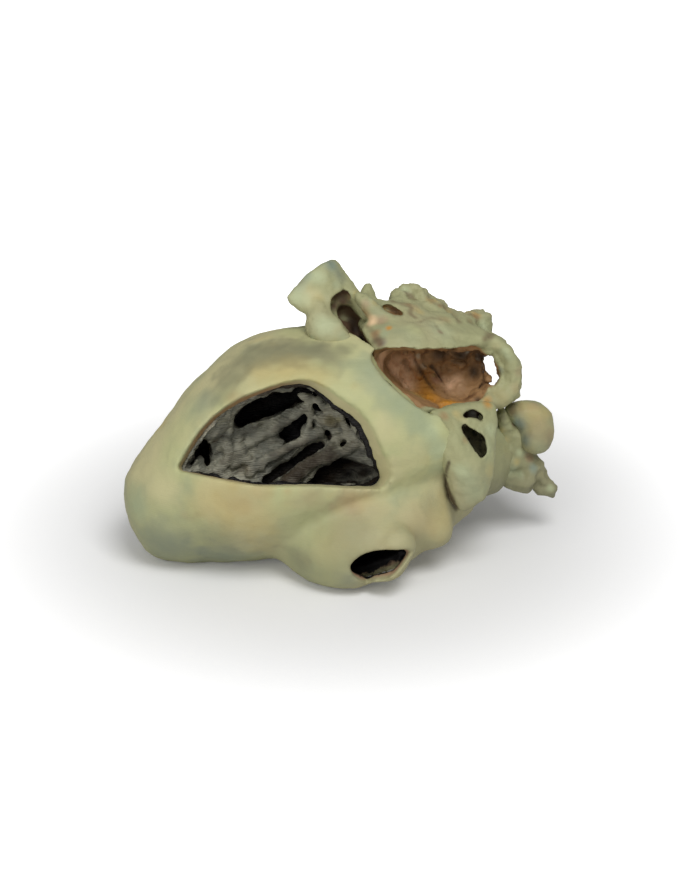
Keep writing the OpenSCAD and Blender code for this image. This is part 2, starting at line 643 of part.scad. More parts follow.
module left_atrium() {
    color("tan") difference() {
        left_mass();
        atrium_loft(left_atrium_shares, half_atrium, atrium_wall);
        atrium_window();
        vein_hole();
        for (s = vein_lumen_shares) base_beads(s, [1, 1] * vein_lumen_r_share * half_w);
        under_plate();
    }
}
module right_atrium() {
    color("tan") difference() {
        right_mass();
        left_mass();
        difference() {
            atrium_loft(right_atrium_shares, half_right_atrium, atrium_wall);
            atrium_loft(left_atrium_shares, half_atrium, -atrium_wall);
        }
        under_plate();
    }
}
module ring_solid() {
    base_beads(ring_shares, ring_r_shares * half_atrium);
}
module pulmonary_vein_ring() {
    color("darkkhaki") difference() {
        ring_solid();
        left_mass();
        vein_hole();
    }
}
module veins_solid() {
    base_beads(knob_shares, knob_r_shares * half_w);
    base_beads(vein_shares, vein_r_shares * half_w);
}
module pulmonary_veins() {
    color("darkkhaki") difference() {
        veins_solid();
        for (s = vein_lumen_shares) base_beads(s, [1, 1] * vein_lumen_r_share * half_w);
        left_mass();
        ring_solid();
    }
}
module left_auricle() {
    color("palegoldenrod") difference() {
        union() {
            base_beads(auricle_shares, auricle_r_shares * auricle_w / 2);
            base_beads(auricle_rim_shares, auricle_rim_r_shares * auricle_w / 2);
            on_base() hull() for (i = [0 : len(ear_shares) - 1])
                translate(base_place(ear_shares[i]))
                sphere(ear_r_shares[i] * auricle_w / 2, $fn = bead_sides);
            on_base() hull() for (s = auricle_web_shares)
                translate(base_place(s)) sphere(auricle_web_r_share * auricle_w / 2, $fn = bead_sides);
        }
        base_beads(auricle_lumen_shares, auricle_lumen_r_shares * auricle_w / 2);
        ventricles();
        left_mass();
        veins_solid();
        fibrous_skeleton();
    }
}
module coronary_sinus() {
    color("darkseagreen") difference() {
        on_base() beads(placed(sinus_shares, groove_units), sinus_r_shares * half_atrium);
        on_base() beads(placed(sinus_lumen_shares, groove_units), sinus_lumen_r_shares * half_atrium);
        ventricles();
        left_mass();
        right_mass();
        fibrous_skeleton();
        ring_solid();
    }
}
module right_auricle_solid() {
    base_beads(right_auricle_shares, right_auricle_r_shares * half_w);
}
module right_auricle() {
    color("darkkhaki") difference() {
        right_auricle_solid();
        right_mass();
        left_mass();
        bar(aorta_shares, aorta_d / 2);
        bar(cranial_cava_shares, cava_d / 2);
        under_plate();
    }
}
module aorta() {
    color("tan") difference() {
        vessel(aorta_shares, aorta_d);
        left_mass();
        right_mass();
        under_plate();
    }
}
module pulmonary_trunk() {
    color("tan") difference() {
        vessel(pulmonary_shares, pulmonary_d);
        bar(aorta_shares, aorta_d / 2);
        left_mass();
        fibrous_skeleton();
    }
}
module caudal_vena_cava() {
    color("tan") difference() {
        vessel(caudal_cava_shares, cava_d);
        left_mass();
        right_mass();
        ring_solid();
    }
}
module cranial_vena_cava() {
    color("tan") difference() {
        vessel(cranial_cava_shares, cava_d);
        left_mass();
        right_mass();
    }
}
module azygos_solid() {
    base_beads(azygos_shares, azygos_r_shares * cava_d / 2);
    base_beads(azygos_side_shares, azygos_side_r_shares * cava_d / 2);
}
module azygos_vein() {
    color("darkkhaki") difference() {
        azygos_solid();
        base_beads(azygos_lumen_shares, [1, 1] * azygos_lumen_r_share * cava_d / 2);
        bar(caudal_cava_shares, cava_d / 2);
        right_mass();
        under_table();
    }
}
module epicardial_fat() {
    color("khaki") difference() {
        on_base() beads(placed(fat_shares, right_groove_units), fat_r_shares * half_right_atrium);
        ventricles();
        left_mass();
        right_mass();
        fibrous_skeleton();
        ring_solid();
        right_auricle_solid();
        bar(caudal_cava_shares, cava_d / 2);
        azygos_solid();
    }
}
module coronary_arteries() {
    color("darkkhaki") difference() {
        on_heart() for (shares = [artery_shares, artery_branch_shares])
            beads([for (s = shares) in_left(s[0], s[1], 1, 0)], [for (s = shares) artery_d / 2]);
        ventricles();
        past_base();
    }
}

left_ventricle();
right_ventricle();
trabeculae();
papillary_muscle_cranial();
papillary_muscle_caudal();
left_chordae();
mitral_valve();
moderator_band();
right_papillary_muscles();
right_chordae();
tricuspid_valve();
fibrous_skeleton();
aortic_valve();
pulmonary_valve();
left_atrium();
pulmonary_vein_ring();
pulmonary_veins();
left_auricle();
right_atrium();
coronary_sinus();
right_auricle();
aorta();
pulmonary_trunk();
cranial_vena_cava();
caudal_vena_cava();
azygos_vein();
epicardial_fat();
coronary_arteries();
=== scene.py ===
import math

import bmesh
import bpy
from mathutils import Matrix, Vector, noise
from mathutils.bvhtree import BVHTree
from mathutils.kdtree import KDTree

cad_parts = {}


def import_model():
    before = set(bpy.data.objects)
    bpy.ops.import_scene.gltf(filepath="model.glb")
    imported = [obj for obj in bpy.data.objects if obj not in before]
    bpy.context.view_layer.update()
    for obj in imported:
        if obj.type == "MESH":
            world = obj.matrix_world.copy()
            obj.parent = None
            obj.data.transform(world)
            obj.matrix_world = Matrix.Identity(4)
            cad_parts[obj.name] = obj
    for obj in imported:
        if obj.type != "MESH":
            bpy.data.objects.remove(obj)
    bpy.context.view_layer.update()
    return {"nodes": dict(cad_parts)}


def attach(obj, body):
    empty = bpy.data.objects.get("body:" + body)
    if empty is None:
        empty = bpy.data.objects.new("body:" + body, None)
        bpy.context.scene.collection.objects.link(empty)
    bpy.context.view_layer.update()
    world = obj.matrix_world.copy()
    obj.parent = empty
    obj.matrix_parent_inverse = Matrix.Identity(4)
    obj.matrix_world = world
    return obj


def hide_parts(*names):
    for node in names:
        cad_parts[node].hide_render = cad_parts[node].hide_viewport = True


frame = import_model()

# Everything is shaped in millimetres and scaled to metres at the end.
MM = 0.001

# The camera: the place it looks at, its distance, climb and lens, and the photograph's size.
TARGET = Vector((1.8, -9.2, 38.9))
STAND_OFF = 900.0
CLIMB = math.radians(25)
FOCAL_PX = 3000.0
PHOTO_W, PHOTO_H = 700, 869
SENSOR = 36.0
FORWARD = Vector((0, math.cos(CLIMB), -math.sin(CLIMB)))
RIGHT = Vector((1, 0, 0))
UP = RIGHT.cross(FORWARD)
EYE = TARGET - FORWARD * STAND_OFF

# Lie of the heart: apex, length to the base plane, turn and tip of the axis, two leans of the base.
APEX = Vector((-67.2, -12.35, 19.15))
HEART_L = 84.0
AXIS_TURN = math.radians(8)
AXIS_TIP = math.radians(75)
BASE_LEAN = math.radians(13)
BASE_ROLL = math.radians(28)
HEART = (Matrix.Translation(APEX) @ Matrix.Rotation(AXIS_TURN, 4, "Z")
         @ Matrix.Rotation(AXIS_TIP, 4, "Y") @ Matrix.Rotation(math.pi, 4, "Z"))
BASE = (HEART @ Matrix.Translation((0, 0, HEART_L)) @ Matrix.Rotation(BASE_LEAN, 4, "Y")
        @ Matrix.Rotation(BASE_ROLL, 4, "X"))

# Left ventricle, row by row: level, centre to the left side, radius.
LEFT_ROWS = [
    (0, -6.6, 4), (2.1, -6.6, 11.2), (8, -6.3, 16.5), (18, -4.3, 21.8), (30, -1.2, 27.7),
    (42, 1.2, 31.7), (54, 2.8, 32.7), (67.2, 3.3, 30.7), (84, 2.8, 28), (105, 1, 24),
]
# Right ventricle: level, centre to the left and caudally, half height, half width.
RIGHT_ROWS = [
    (37, -19.2, 4, 4.8, 12), (44.5, -20.8, 4, 11.5, 24.8), (52, -21.8, 3.2, 14.7, 33.6),
    (61.3, -21.9, 2.8, 16, 38), (70.6, -21.9, 0.8, 16, 37), (80, -21.4, -2.2, 16.6, 33),
    (91, -20.2, -5, 17.6, 28.6), (107, -18.6, -7.6, 16, 22),
]
# The lobe's roundness: below 1 is squarer than a circle, above 1 is more pointed.
RIGHT_SQUARE = (0.62, 1.1)
# The outflow of the right ventricle: place and radius.
CONUS = [((-18, -22, 50), 12), ((-6.6, -28, 66), 12), ((6.6, -28, 80), 12), ((14, -26, 94), 11)]
# Thickness of the walls, of the muscle that lines the left one, and how far the two overlap.
LEFT_WALL = 6.5
RIGHT_WALL = 4.0
LINING = 2.0
OVERLAP = 0.6
# How far the open chamber lies before its far wall.
OPEN_SHIFT = Vector((4.95, -20.5, 2.97))
# Levels over the base plane at which the walls, their two hollows and the lining end.
WALLS_END = 2.5
LEFT_HOLLOW_END = -2.5
RIGHT_HOLLOW_END = 0.5
LINING_END = -1.0
# The floor's thickness under the right hollow.
FLOOR_WALL = 2.5
# Atria over the base plane: level, the centre's two distances in the plane, half width, half depth.
LEFT_ATRIUM_ROWS = [
    (0, 9.9, 3, 17, 17), (8, 9.9, 3, 19.3, 18.9), (16, 6.6, 4, 20, 18.9), (24, 2.3, 5, 18.5, 16.8),
    (31.2, -2.3, 5.9, 14.3, 13), (36.9, -4, 6.9, 8, 7.6),
]
RIGHT_ATRIUM_ROWS = [
    (0, -20.5, 2, 14.6, 16.2), (10, -22.1, 4, 16.7, 17.7), (20, -25.1, 4.3, 15, 14.3),
    (28, -29, 4.6, 10.2, 8.8), (32, -30.4, 4.6, 5.8, 5.1),
]
# How far the windows' cutters go straight on beyond the walls.
LEFT_REACH = 6.5
RIGHT_REACH = 13
# How many edges a lofted ring has.
RING_SEGMENTS = 48
# Depths at which cutters start: before everything, before deep slots, before small creases.
BEFORE_ALL = -60
BEFORE_SLOTS = -40
BEFORE_CREASES = -30


def seen(u, v, depth):
    """The place that shows at pixel u, v, at a depth beyond the upright plane through the target."""
    reach = STAND_OFF + depth
    return (EYE + FORWARD * reach + RIGHT * (u - PHOTO_W / 2) / FOCAL_PX * reach
            - UP * (v - PHOTO_H / 2) / FOCAL_PX * reach)


def px(length):
    """A length in pixels of the photograph, in millimetres at the target."""
    return length * STAND_OFF / FOCAL_PX


def eased(rows, steps):
    """Rows of a table with steps added between them on a smooth curve."""
    last = len(rows) - 1
    out = []
    for i in range(last):
        a, b, c, d = (rows[max(0, min(last, i + k))] for k in (-1, 0, 1, 2))
        for step in range(steps):
            t = step / steps
            out.append(tuple(
                q + t / 2 * (r - p + t * (2 * p - 5 * q + 4 * r - s + t * (3 * (q - r) + s - p)))
                for p, q, r, s in zip(a, b, c, d)))
    return out + [tuple(rows[last])]


def closed(part, loops, triangles=False):
    """Joins loops of edges one after the other, fills both ends and turns the faces outward."""
    for a, b in zip(loops, loops[1:]):
        bmesh.ops.bridge_loops(part, edges=a + b)
    for ends in (loops[0], loops[-1]):
        bmesh.ops.edgeloop_fill(part, edges=ends)
    if triangles:
        bmesh.ops.triangulate(part, faces=part.faces)
    bmesh.ops.recalc_face_normals(part, faces=part.faces)
    return part


class Clay:
    """Closed lumps gathered in one mesh, which fuse() then makes one skin."""

    def __init__(self):
        self.mesh = bmesh.new()

    def take(self, part):
        """Adds another mesh's geometry and frees it."""
        shell = bpy.data.meshes.new("part")
        part.to_mesh(shell)
        part.free()
        self.mesh.from_mesh(shell)
        bpy.data.meshes.remove(shell)

    def hull(self, balls):
        """The tight skin round balls, each a place and a radius."""
        part = bmesh.new()
        for place, radius in balls:
            bmesh.ops.create_icosphere(part, subdivisions=2, radius=radius, matrix=Matrix.Translation(place))
        bmesh.ops.delete(part, geom=part.faces[:] + part.edges[:], context="EDGES_FACES")
        made = bmesh.ops.convex_hull(part, input=part.verts)
        spare = set(made["geom_interior"] + made["geom_unused"])
        bmesh.ops.delete(part, geom=[vert for vert in part.verts if vert in spare], context="VERTS")
        bmesh.ops.recalc_face_normals(part, faces=part.faces)
        self.take(part)

    def chain(self, stops, steps=3, frame_of=None):
        """Balls on a smooth path, each joined to the next. A stop is a place and a radius."""
        rows = eased([(*place, radius) for place, radius in stops], steps)
        balls = [(Vector(row[:3]), max(row[3], 0.2)) for row in rows]
        if frame_of:
            balls = [(frame_of @ place, radius) for place, radius in balls]
        for pair in zip(balls, balls[1:]):
            self.hull(pair)

    def slot(self, stops, near, far, taper=1.0):
        """A groove drawn over the photograph: stops of pixel and radius in pixels, from near to far."""
        rows = eased(stops, 2)
        for a, b in zip(rows, rows[1:]):
            self.hull([(seen(s[0], s[1], depth), px(s[2]) * narrow)
                       for s in (a, b) for depth, narrow in ((near, 1), (far, taper))])

    def trail(self, stops):
        """A chain drawn over the photograph: stops of pixel, depth and radius in pixels."""
        self.chain([(seen(u, v, depth), px(radius)) for u, v, depth, radius in stops])

    def slab(self, stops):
        """The tight skin round balls drawn over the photograph: pixel, depth and radius in pixels."""
        self.hull([(seen(u, v, depth), px(radius)) for u, v, depth, radius in stops])

    def loft(self, rings):
        """A closed skin through rings: the ring's matrix, two half widths and the roundness of its sides."""
        part = bmesh.new()
        loops = []
        for matrix, half_x, half_y, square in rings:
            made = bmesh.ops.create_circle(part, segments=RING_SEGMENTS, radius=1)
            for vert in made["verts"]:
                power = square[0] if vert.co.x < 0 else square[1]
                vert.co.x = math.copysign(abs(vert.co.x) ** power, vert.co.x) * half_x
                vert.co.y = math.copysign(abs(vert.co.y) ** power, vert.co.y) * half_y
                vert.co = matrix @ vert.co
            loops.append(part.edges[RING_SEGMENTS * len(loops):])
        self.take(closed(part, loops))

    def prism(self, outline, near, far):
        """A cutter drawn over the photograph, straight on from near to far."""
        self.opening([(seen(u, v, near), seen(u, v, far)) for u, v in outline])

    def opening(self, columns):
        """A closed skin through rings of places. A column holds one place of each ring."""
        part = bmesh.new()
        loops = []
        for ring in zip(*columns):
            verts = [part.verts.new(place) for place in ring]
            loops.append([part.edges.new(pair) for pair in zip(verts, verts[1:] + verts[:1])])
        self.take(closed(part, loops, triangles=True))

    def made(self, name):
        """The clay as an object of the scene."""
        shell = bpy.data.meshes.new(name)
        self.mesh.to_mesh(shell)
        self.mesh.free()
        piece = bpy.data.objects.new(name, shell)
        bpy.context.scene.collection.objects.link(piece)
        return piece


def lofted(rings, name):
    """A piece lofted through rings."""
    clay = Clay()
    clay.loft(rings)
    return clay.made(name)


def block(size, matrix, name):
    """A cube to cut with."""
    clay = Clay()
    part = bmesh.new()
    bmesh.ops.create_cube(part, size=size, matrix=matrix)
    clay.take(part)
    return clay.made(name)


def worked(piece, kind, **settings):
    """Puts one modifier on a piece and keeps its result as the piece's mesh."""
    modifier = piece.modifiers.new(kind, kind)
    for key, value in settings.items():
        setattr(modifier, key, value)
    result = bpy.data.meshes.new_from_object(piece.evaluated_get(bpy.context.evaluated_depsgraph_get()))
    piece.modifiers.clear()
    old, piece.data = piece.data, result
    bpy.data.meshes.remove(old)
    return piece


def fuse(piece, grain):
    """Makes all closed lumps of a piece one even skin."""
    return worked(piece, "REMESH", mode="VOXEL", voxel_size=grain)


def soften(piece, rounds):
    """Rounds off a piece's edges."""
    worked(piece, "SMOOTH", factor=0.5, iterations=rounds)


def carve(piece, cutter, keep="DIFFERENCE"):
    """Cuts a piece with another one, or keeps their sum or what they share. The other is then gone."""
    worked(piece, "BOOLEAN", operation=keep, object=cutter, solver="MANIFOLD")
    bpy.data.objects.remove(cutter)
    return piece


def twin(piece):
    """A copy of a piece with a mesh of its own."""
    copy = bpy.data.objects.new(piece.name + "_twin", piece.data.copy())
    bpy.context.scene.collection.objects.link(copy)
    return copy


def add_to(piece, clay, name, grain=0.6):
    """Fuses clay and adds it to a piece."""
    carve(piece, fuse(clay.made(name), grain), "UNION")


def cut_by(piece, clay, name, grain=0.6, rough=0.0):
    """Fuses clay, roughens it and cuts a piece with it."""
    cutter = fuse(clay.made(name), grain)
    if rough:
        ruffle(cutter, rough, 4, seed=21)
    carve(piece, cutter)


def skin_tree(piece):
    """A search tree of a piece's skin as it is now."""
    return BVHTree.FromPolygons([v.co for v in piece.data.vertices],
                                [tuple(p.vertices) for p in piece.data.polygons])


def look_at(tree, u, v):
    """The place of a skin that shows at pixel u, v, or None."""
    return tree.ray_cast(EYE, (seen(u, v, 0) - EYE).normalized())[0]


def on_skin(tree, stops):
    """Stops of pixel, lift and radius in pixels, laid on a skin as places and radii."""
    out = []
    for u, v, rise, radius in stops:
        place = look_at(tree, u, v)
        if place is not None:
            out.append((place - FORWARD * rise, px(radius)))
    return out


def on_far_side(tree, stops):
    """As on_skin, but on the far side of a closed skin."""
    out = []
    for u, v, rise, radius in stops:
        ray = (seen(u, v, 0) - EYE).normalized()
        place = tree.ray_cast(seen(u, v, 200), -ray)[0]
        if place is not None:
            out.append((place - FORWARD * rise, px(radius)))
    return out


def mark_under(piece, tree):
    """Keeps how deep each point lies beneath the skin that the piece had before it was cut."""
    layer = piece.data.attributes.new("under", "FLOAT", "POINT")
    layer.data.foreach_set("value", [tree.find_nearest(v.co)[3] for v in piece.data.vertices])


def line_of(stops, spread, colour, strength):
    """Daubs along a line of pixels and radii."""
    return [(u, v, spread * radius, colour, strength) for u, v, radius in eased(stops, 4)]


def daubed(piece, daubs):
    """Soft patches of colour: pixel, radius in pixels, colour and strength, laid over each other."""
    tree = skin_tree(piece)
    spots = [(look_at(tree, u, v), px(radius), colour, strength)
             for u, v, radius, colour, strength in daubs]
    spots = [spot for spot in spots if spot[0] is not None]
    layer = piece.data.attributes.new("daub", "FLOAT_COLOR", "POINT")
    values = []
    for vert in piece.data.vertices:
        mixed = Vector((0, 0, 0))
        cover = 0.0
        wobble = 1 + 0.45 * noise.fractal(vert.co / 5, 0.8, 2.2, 2)
        for place, radius, colour, strength in spots:
            away = (vert.co - place).length * wobble / radius
            if away < 1:
                share = strength * (1 - away * away) ** 2
                mixed = mixed * (1 - share) + Vector(colour[:3]) * share
                cover = cover * (1 - share) + share
        values += [*(mixed / cover if cover > 0 else mixed), cover]
    layer.data.foreach_set("color", values)
    return piece


def finished(piece, skin, daubs):
    """Marks how deep a piece is cut into its first skin, and lays its patches of colour on it."""
    mark_under(piece, skin)
    return daubed(piece, daubs)


def ruffle(piece, height, width, seed=0.0, where=None):
    """Moves a piece's skin in and out by a soft noise."""
    shift = Vector((seed, seed * 1.7, -seed))
    part = bmesh.new()
    part.from_mesh(piece.data)
    part.normal_update()
    moves = []
    for vert in part.verts:
        amount = height * noise.fractal(vert.co / width + shift, 0.8, 2.2, 3)
        moves.append(vert.normal * (amount if where is None else amount * where(vert.co)))
    for vert, move in zip(part.verts, moves):
        vert.co += move
    part.to_mesh(piece.data)
    part.free()
    return piece


def ventricle_rings(shrink):
    """Rings of the left ventricle, or of its chamber when shrunk by the wall."""
    rows = [row for row in eased(LEFT_ROWS, 3) if row[2] > 1.4 * shrink and row[0] >= shrink]
    return [(HEART @ Matrix.Translation((row[1], 0, row[0])), row[2] - shrink, row[2] - shrink, (1, 1))
            for row in rows]


def right_rings(shrink):
    """Rings of the right ventricle's lobe, or of its chamber."""
    rows = [row for row in eased(RIGHT_ROWS, 3) if row[3] > 1.5 * shrink]
    return [(HEART @ Matrix.Translation((row[1], row[2], row[0])), row[3] - shrink, row[4] - shrink,
             RIGHT_SQUARE) for row in rows]


def atrium_rings(rows):
    """Rings of an atrium."""
    return [(BASE @ Matrix.Translation((row[1], row[2], row[0])), row[3], row[4], (1, 1))
            for row in eased(rows, 3)]


def in_base(*stops):
    """Stops of a chain given in the base frame, moved to their place."""
    return [(BASE @ Vector(place), radius) for place, radius in stops]


# The right ventricle's corner at the groove and its fullness round the window: pixel, depth, radius.
RIGHT_CORNERS = [
    [(435, 529, -2, 21), (405, 520, -6, 24), (425, 500, 0, 24)],
    [(386, 564, -15, 20), (370, 566, -14, 20), (395, 545, -14, 22)],
]

# Outlines of the windows in the photograph.
LEFT_WINDOW = [
    (180, 471), (190, 455), (204, 433), (216, 420), (229, 410), (243, 402), (258, 395), (284, 386),
    (299, 384), (309, 386), (321, 395), (334, 408), (346, 415), (358, 426), (365, 440), (371, 455),
    (375, 465), (380, 478), (374, 486), (346, 486), (317, 484), (287, 484), (258, 484), (229, 479),
    (199, 473),
]
LEFT_BEVEL = [
    (175, 470), (184, 453), (198, 431), (211, 417), (225, 406), (240, 397), (256, 391), (283, 382),
    (300, 379), (314, 380), (330, 388), (347, 400), (361, 410), (371, 422), (379, 437), (385, 452),
    (391, 463), (394, 477), (384, 489), (347, 488), (317, 486), (287, 486), (257, 486), (227, 481),
    (197, 475),
]
RIGHT_WINDOW = [
    (350, 566), (355, 560), (363, 554), (375, 550), (392, 549), (407, 549), (409, 551), (404, 557),
    (398, 565), (393, 571), (383, 573), (374, 575), (368, 578), (361, 575), (352, 571),
]
RIGHT_BEVEL = [
    (349, 567), (354, 560), (363, 554), (375, 551), (392, 550), (408, 550), (412, 552), (408, 559),
    (401, 568), (393, 576), (384, 581), (375, 584), (367, 584), (358, 580), (351, 573),
]
ATRIUM_WINDOW = [
    (372, 351), (391, 347), (430, 349), (470, 346), (482, 346), (488, 350), (494, 358), (500, 370),
    (502, 382), (497, 392), (488, 394), (478, 402), (466, 409), (448, 415), (432, 415), (415, 406),
    (399, 393), (384, 379), (376, 368), (371, 360),
]
FAR_WINDOW = [(424, 351), *ATRIUM_WINDOW[3:13], (440, 412)]
THROUGH_HOLE = [
    (486, 352), (494, 356), (500, 368), (500, 380), (496, 388), (490, 389), (484, 380), (483, 365),
]


# The finishes' colours; BLACK, UMBER, SLATE and BROWN also serve as painted shade, and FLESH partly as
# painted light.
CELERY = (0.43, 0.44, 0.22, 1)
CREAM = (0.50, 0.46, 0.25, 1)
STRAW = (0.46, 0.37, 0.15, 1)
MINT = (0.45, 0.51, 0.31, 1)
SAGE = (0.29, 0.33, 0.20, 1)
SLATE = (0.15, 0.18, 0.15, 1)
BLUE_GREY = (0.20, 0.26, 0.22, 1)
ORANGE = (0.50, 0.22, 0.025, 1)
TAN = (0.33, 0.19, 0.085, 1)
PINK = (0.36, 0.20, 0.13, 1)
RUST = (0.11, 0.045, 0.018, 1)
UMBER = (0.045, 0.027, 0.013, 1)
BROWN = (0.13, 0.08, 0.045, 1)
OLIVE = (0.21, 0.205, 0.12, 1)
BLACK = (0.006, 0.005, 0.005, 1)
GREY = (0.24, 0.235, 0.19, 1)
PALE_GREY = (0.50, 0.48, 0.37, 1)
FLESH = (0.95, 0.62, 0.38, 1)

# Soft patches of colour: pixel, radius in pixels, colour and strength.
# The slate and olive patches along the underside, in the groove and on the right lobe are painted shade; the
# olive and sage along the top ridge darken it.
WALL_DAUBS = [
    (165, 545, 50, SLATE, 0.5), (225, 556, 45, SLATE, 0.6), (275, 562, 30, SLATE, 0.5),
    (135, 505, 30, SAGE, 0.6), (200, 405, 34, SAGE, 0.55), (250, 352, 30, SAGE, 0.4),
    (310, 350, 20, SAGE, 0.6), (285, 372, 30, STRAW, 0.6), (215, 500, 45, STRAW, 0.45),
    (250, 515, 50, STRAW, 0.4), (165, 490, 26, CREAM, 0.6), (320, 375, 24, STRAW, 0.5),
    (385, 425, 26, CREAM, 0.6), (390, 470, 26, CREAM, 0.7), (400, 405, 20, SAGE, 0.5),
    (430, 430, 18, MINT, 0.7), (440, 450, 16, MINT, 0.7), (360, 510, 40, PINK, 0.12),
    (330, 545, 30, STRAW, 0.3), (440, 520, 26, STRAW, 0.4), (350, 580, 20, SLATE, 0.4),
    (345, 350, 16, OLIVE, 0.6), (232, 397, 14, TAN, 0.35), (318, 350, 22, OLIVE, 0.65),
    (345, 535, 45, OLIVE, 0.4), (420, 520, 30, TAN, 0.2), (300, 560, 24, OLIVE, 0.5),
    (220, 540, 40, OLIVE, 0.35), (285, 345, 18, OLIVE, 0.35), (372, 372, 14, OLIVE, 0.3),
    (430, 505, 22, OLIVE, 0.3), (225, 382, 34, OLIVE, 0.6), (240, 362, 36, OLIVE, 0.75),
    (268, 352, 38, OLIVE, 0.9), (300, 350, 36, OLIVE, 0.9), (330, 356, 30, OLIVE, 0.7),
    (362, 366, 26, SAGE, 0.7), (380, 384, 28, SAGE, 0.8), (400, 404, 28, SAGE, 0.8),
    (420, 420, 26, SAGE, 0.7), (300, 368, 30, STRAW, 0.35), (265, 374, 28, STRAW, 0.3),
    (432, 442, 20, SAGE, 0.5), (442, 468, 18, SAGE, 0.6), (205, 400, 20, SLATE, 0.3),
    (240, 500, 30, TAN, 0.2), (265, 492, 18, TAN, 0.25), (310, 497, 24, PINK, 0.25),
    (350, 500, 22, PINK, 0.25), (373, 482, 10, STRAW, 0.4), (392, 460, 12, CREAM, 0.5),
    (318, 384, 10, STRAW, 0.5),
]
# The umber and black patches paint shade in the pockets.
MUSCLE_DAUBS = [
    (331, 421, 9, CREAM, 1.0), (338, 420, 6, CREAM, 0.7), (207, 462, 9, UMBER, 0.8),
    (255, 420, 8, UMBER, 0.5), (270, 478, 10, UMBER, 0.6), (290, 484, 6, PALE_GREY, 0.5),
    (300, 472, 8, PALE_GREY, 0.6), (318, 458, 8, PALE_GREY, 0.6), (262, 437, 14, PALE_GREY, 0.5),
    (240, 452, 12, PALE_GREY, 0.4), (282, 451, 6, PALE_GREY, 0.5), (300, 441, 6, PALE_GREY, 0.5),
    (246, 470, 9, TAN, 0.25), (296, 430, 8, UMBER, 0.4), (350, 415, 6, PALE_GREY, 0.5),
    (330, 478, 12, UMBER, 0.8), (347, 473, 15, BLACK, 0.8), (364, 474, 14, BLACK, 0.85),
    (373, 480, 9, UMBER, 0.9), (286, 474, 10, UMBER, 0.6), (276, 480, 8, BLACK, 0.5),
    (222, 462, 7, UMBER, 0.5), (205, 475, 6, PALE_GREY, 0.6), (216, 440, 6, TAN, 0.2),
]
# Painted shade: umber and black patches in the bowl under the roof's lip and at the through hole. The flesh
# patches are the bowl's pink, brightened as painted light on its left part.
ATRIUM_DAUBS = [
    (382, 358, 16, FLESH, 0.8), (395, 368, 20, FLESH, 1.0), (406, 382, 20, FLESH, 0.95),
    (384, 351, 10, BROWN, 0.6), (412, 360, 14, FLESH, 0.7), (424, 384, 20, ORANGE, 0.75),
    (418, 396, 16, STRAW, 0.5), (430, 398, 20, ORANGE, 1.0), (448, 404, 18, ORANGE, 1.0),
    (452, 384, 16, FLESH, 0.7), (436, 378, 10, PINK, 0.8), (460, 392, 12, TAN, 0.8),
    (470, 396, 12, RUST, 0.85), (480, 386, 13, UMBER, 1.0), (478, 400, 7, UMBER, 0.9),
    (440, 352, 16, UMBER, 0.95), (462, 356, 18, UMBER, 0.95), (480, 356, 14, BLACK, 0.9),
    (474, 372, 12, UMBER, 0.9), (452, 350, 8, BLACK, 0.8), (468, 352, 4, GREY, 0.7),
    (477, 360, 4, GREY, 0.5), (426, 352, 8, BROWN, 0.7), (500, 370, 7, SLATE, 0.6),
    (418, 356, 5, PALE_GREY, 0.5), (424, 366, 5, PALE_GREY, 0.5), (434, 375, 4, STRAW, 0.6),
    (487, 401, 8, ORANGE, 0.6), (389, 328, 5, ORANGE, 0.9), (380, 321, 9, PINK, 0.55),
    (366, 304, 8, PINK, 0.4), (372, 300, 6, MINT, 0.5), (410, 335, 20, SAGE, 0.35),
    (440, 330, 22, MINT, 0.4), (430, 300, 8, ORANGE, 0.25), (446, 320, 10, TAN, 0.35),
    (476, 315, 8, ORANGE, 0.45), (470, 322, 5, RUST, 0.4), (440, 306, 5, TAN, 0.5),
    (405, 290, 9, MINT, 0.6), (395, 310, 8, UMBER, 0.5), (384, 308, 4, ORANGE, 0.5),
    (519, 372, 8, PINK, 0.25), (505, 352, 10, MINT, 0.5), (376, 340, 8, UMBER, 0.6),
    (383, 343, 6, GREY, 0.7), (414, 307, 10, TAN, 0.3), (440, 332, 5, PINK, 0.35),
    (365, 313, 9, TAN, 0.6), (372, 322, 9, FLESH, 0.6), (376, 333, 8, TAN, 0.7),
    (380, 344, 9, BROWN, 0.9), (384, 334, 7, SAGE, 0.6), (374, 302, 7, STRAW, 0.5),
    (420, 312, 9, STRAW, 0.6), (408, 304, 7, TAN, 0.5), (436, 300, 7, STRAW, 0.7),
    (448, 312, 7, STRAW, 0.5), (468, 312, 8, STRAW, 0.8), (482, 326, 10, MINT, 0.5),
    (440, 322, 9, CREAM, 0.5), (416, 330, 14, CELERY, 0.5), (516, 388, 10, TAN, 0.25),
    (509, 358, 8, SAGE, 0.4), (497, 345, 8, CREAM, 0.4),
]
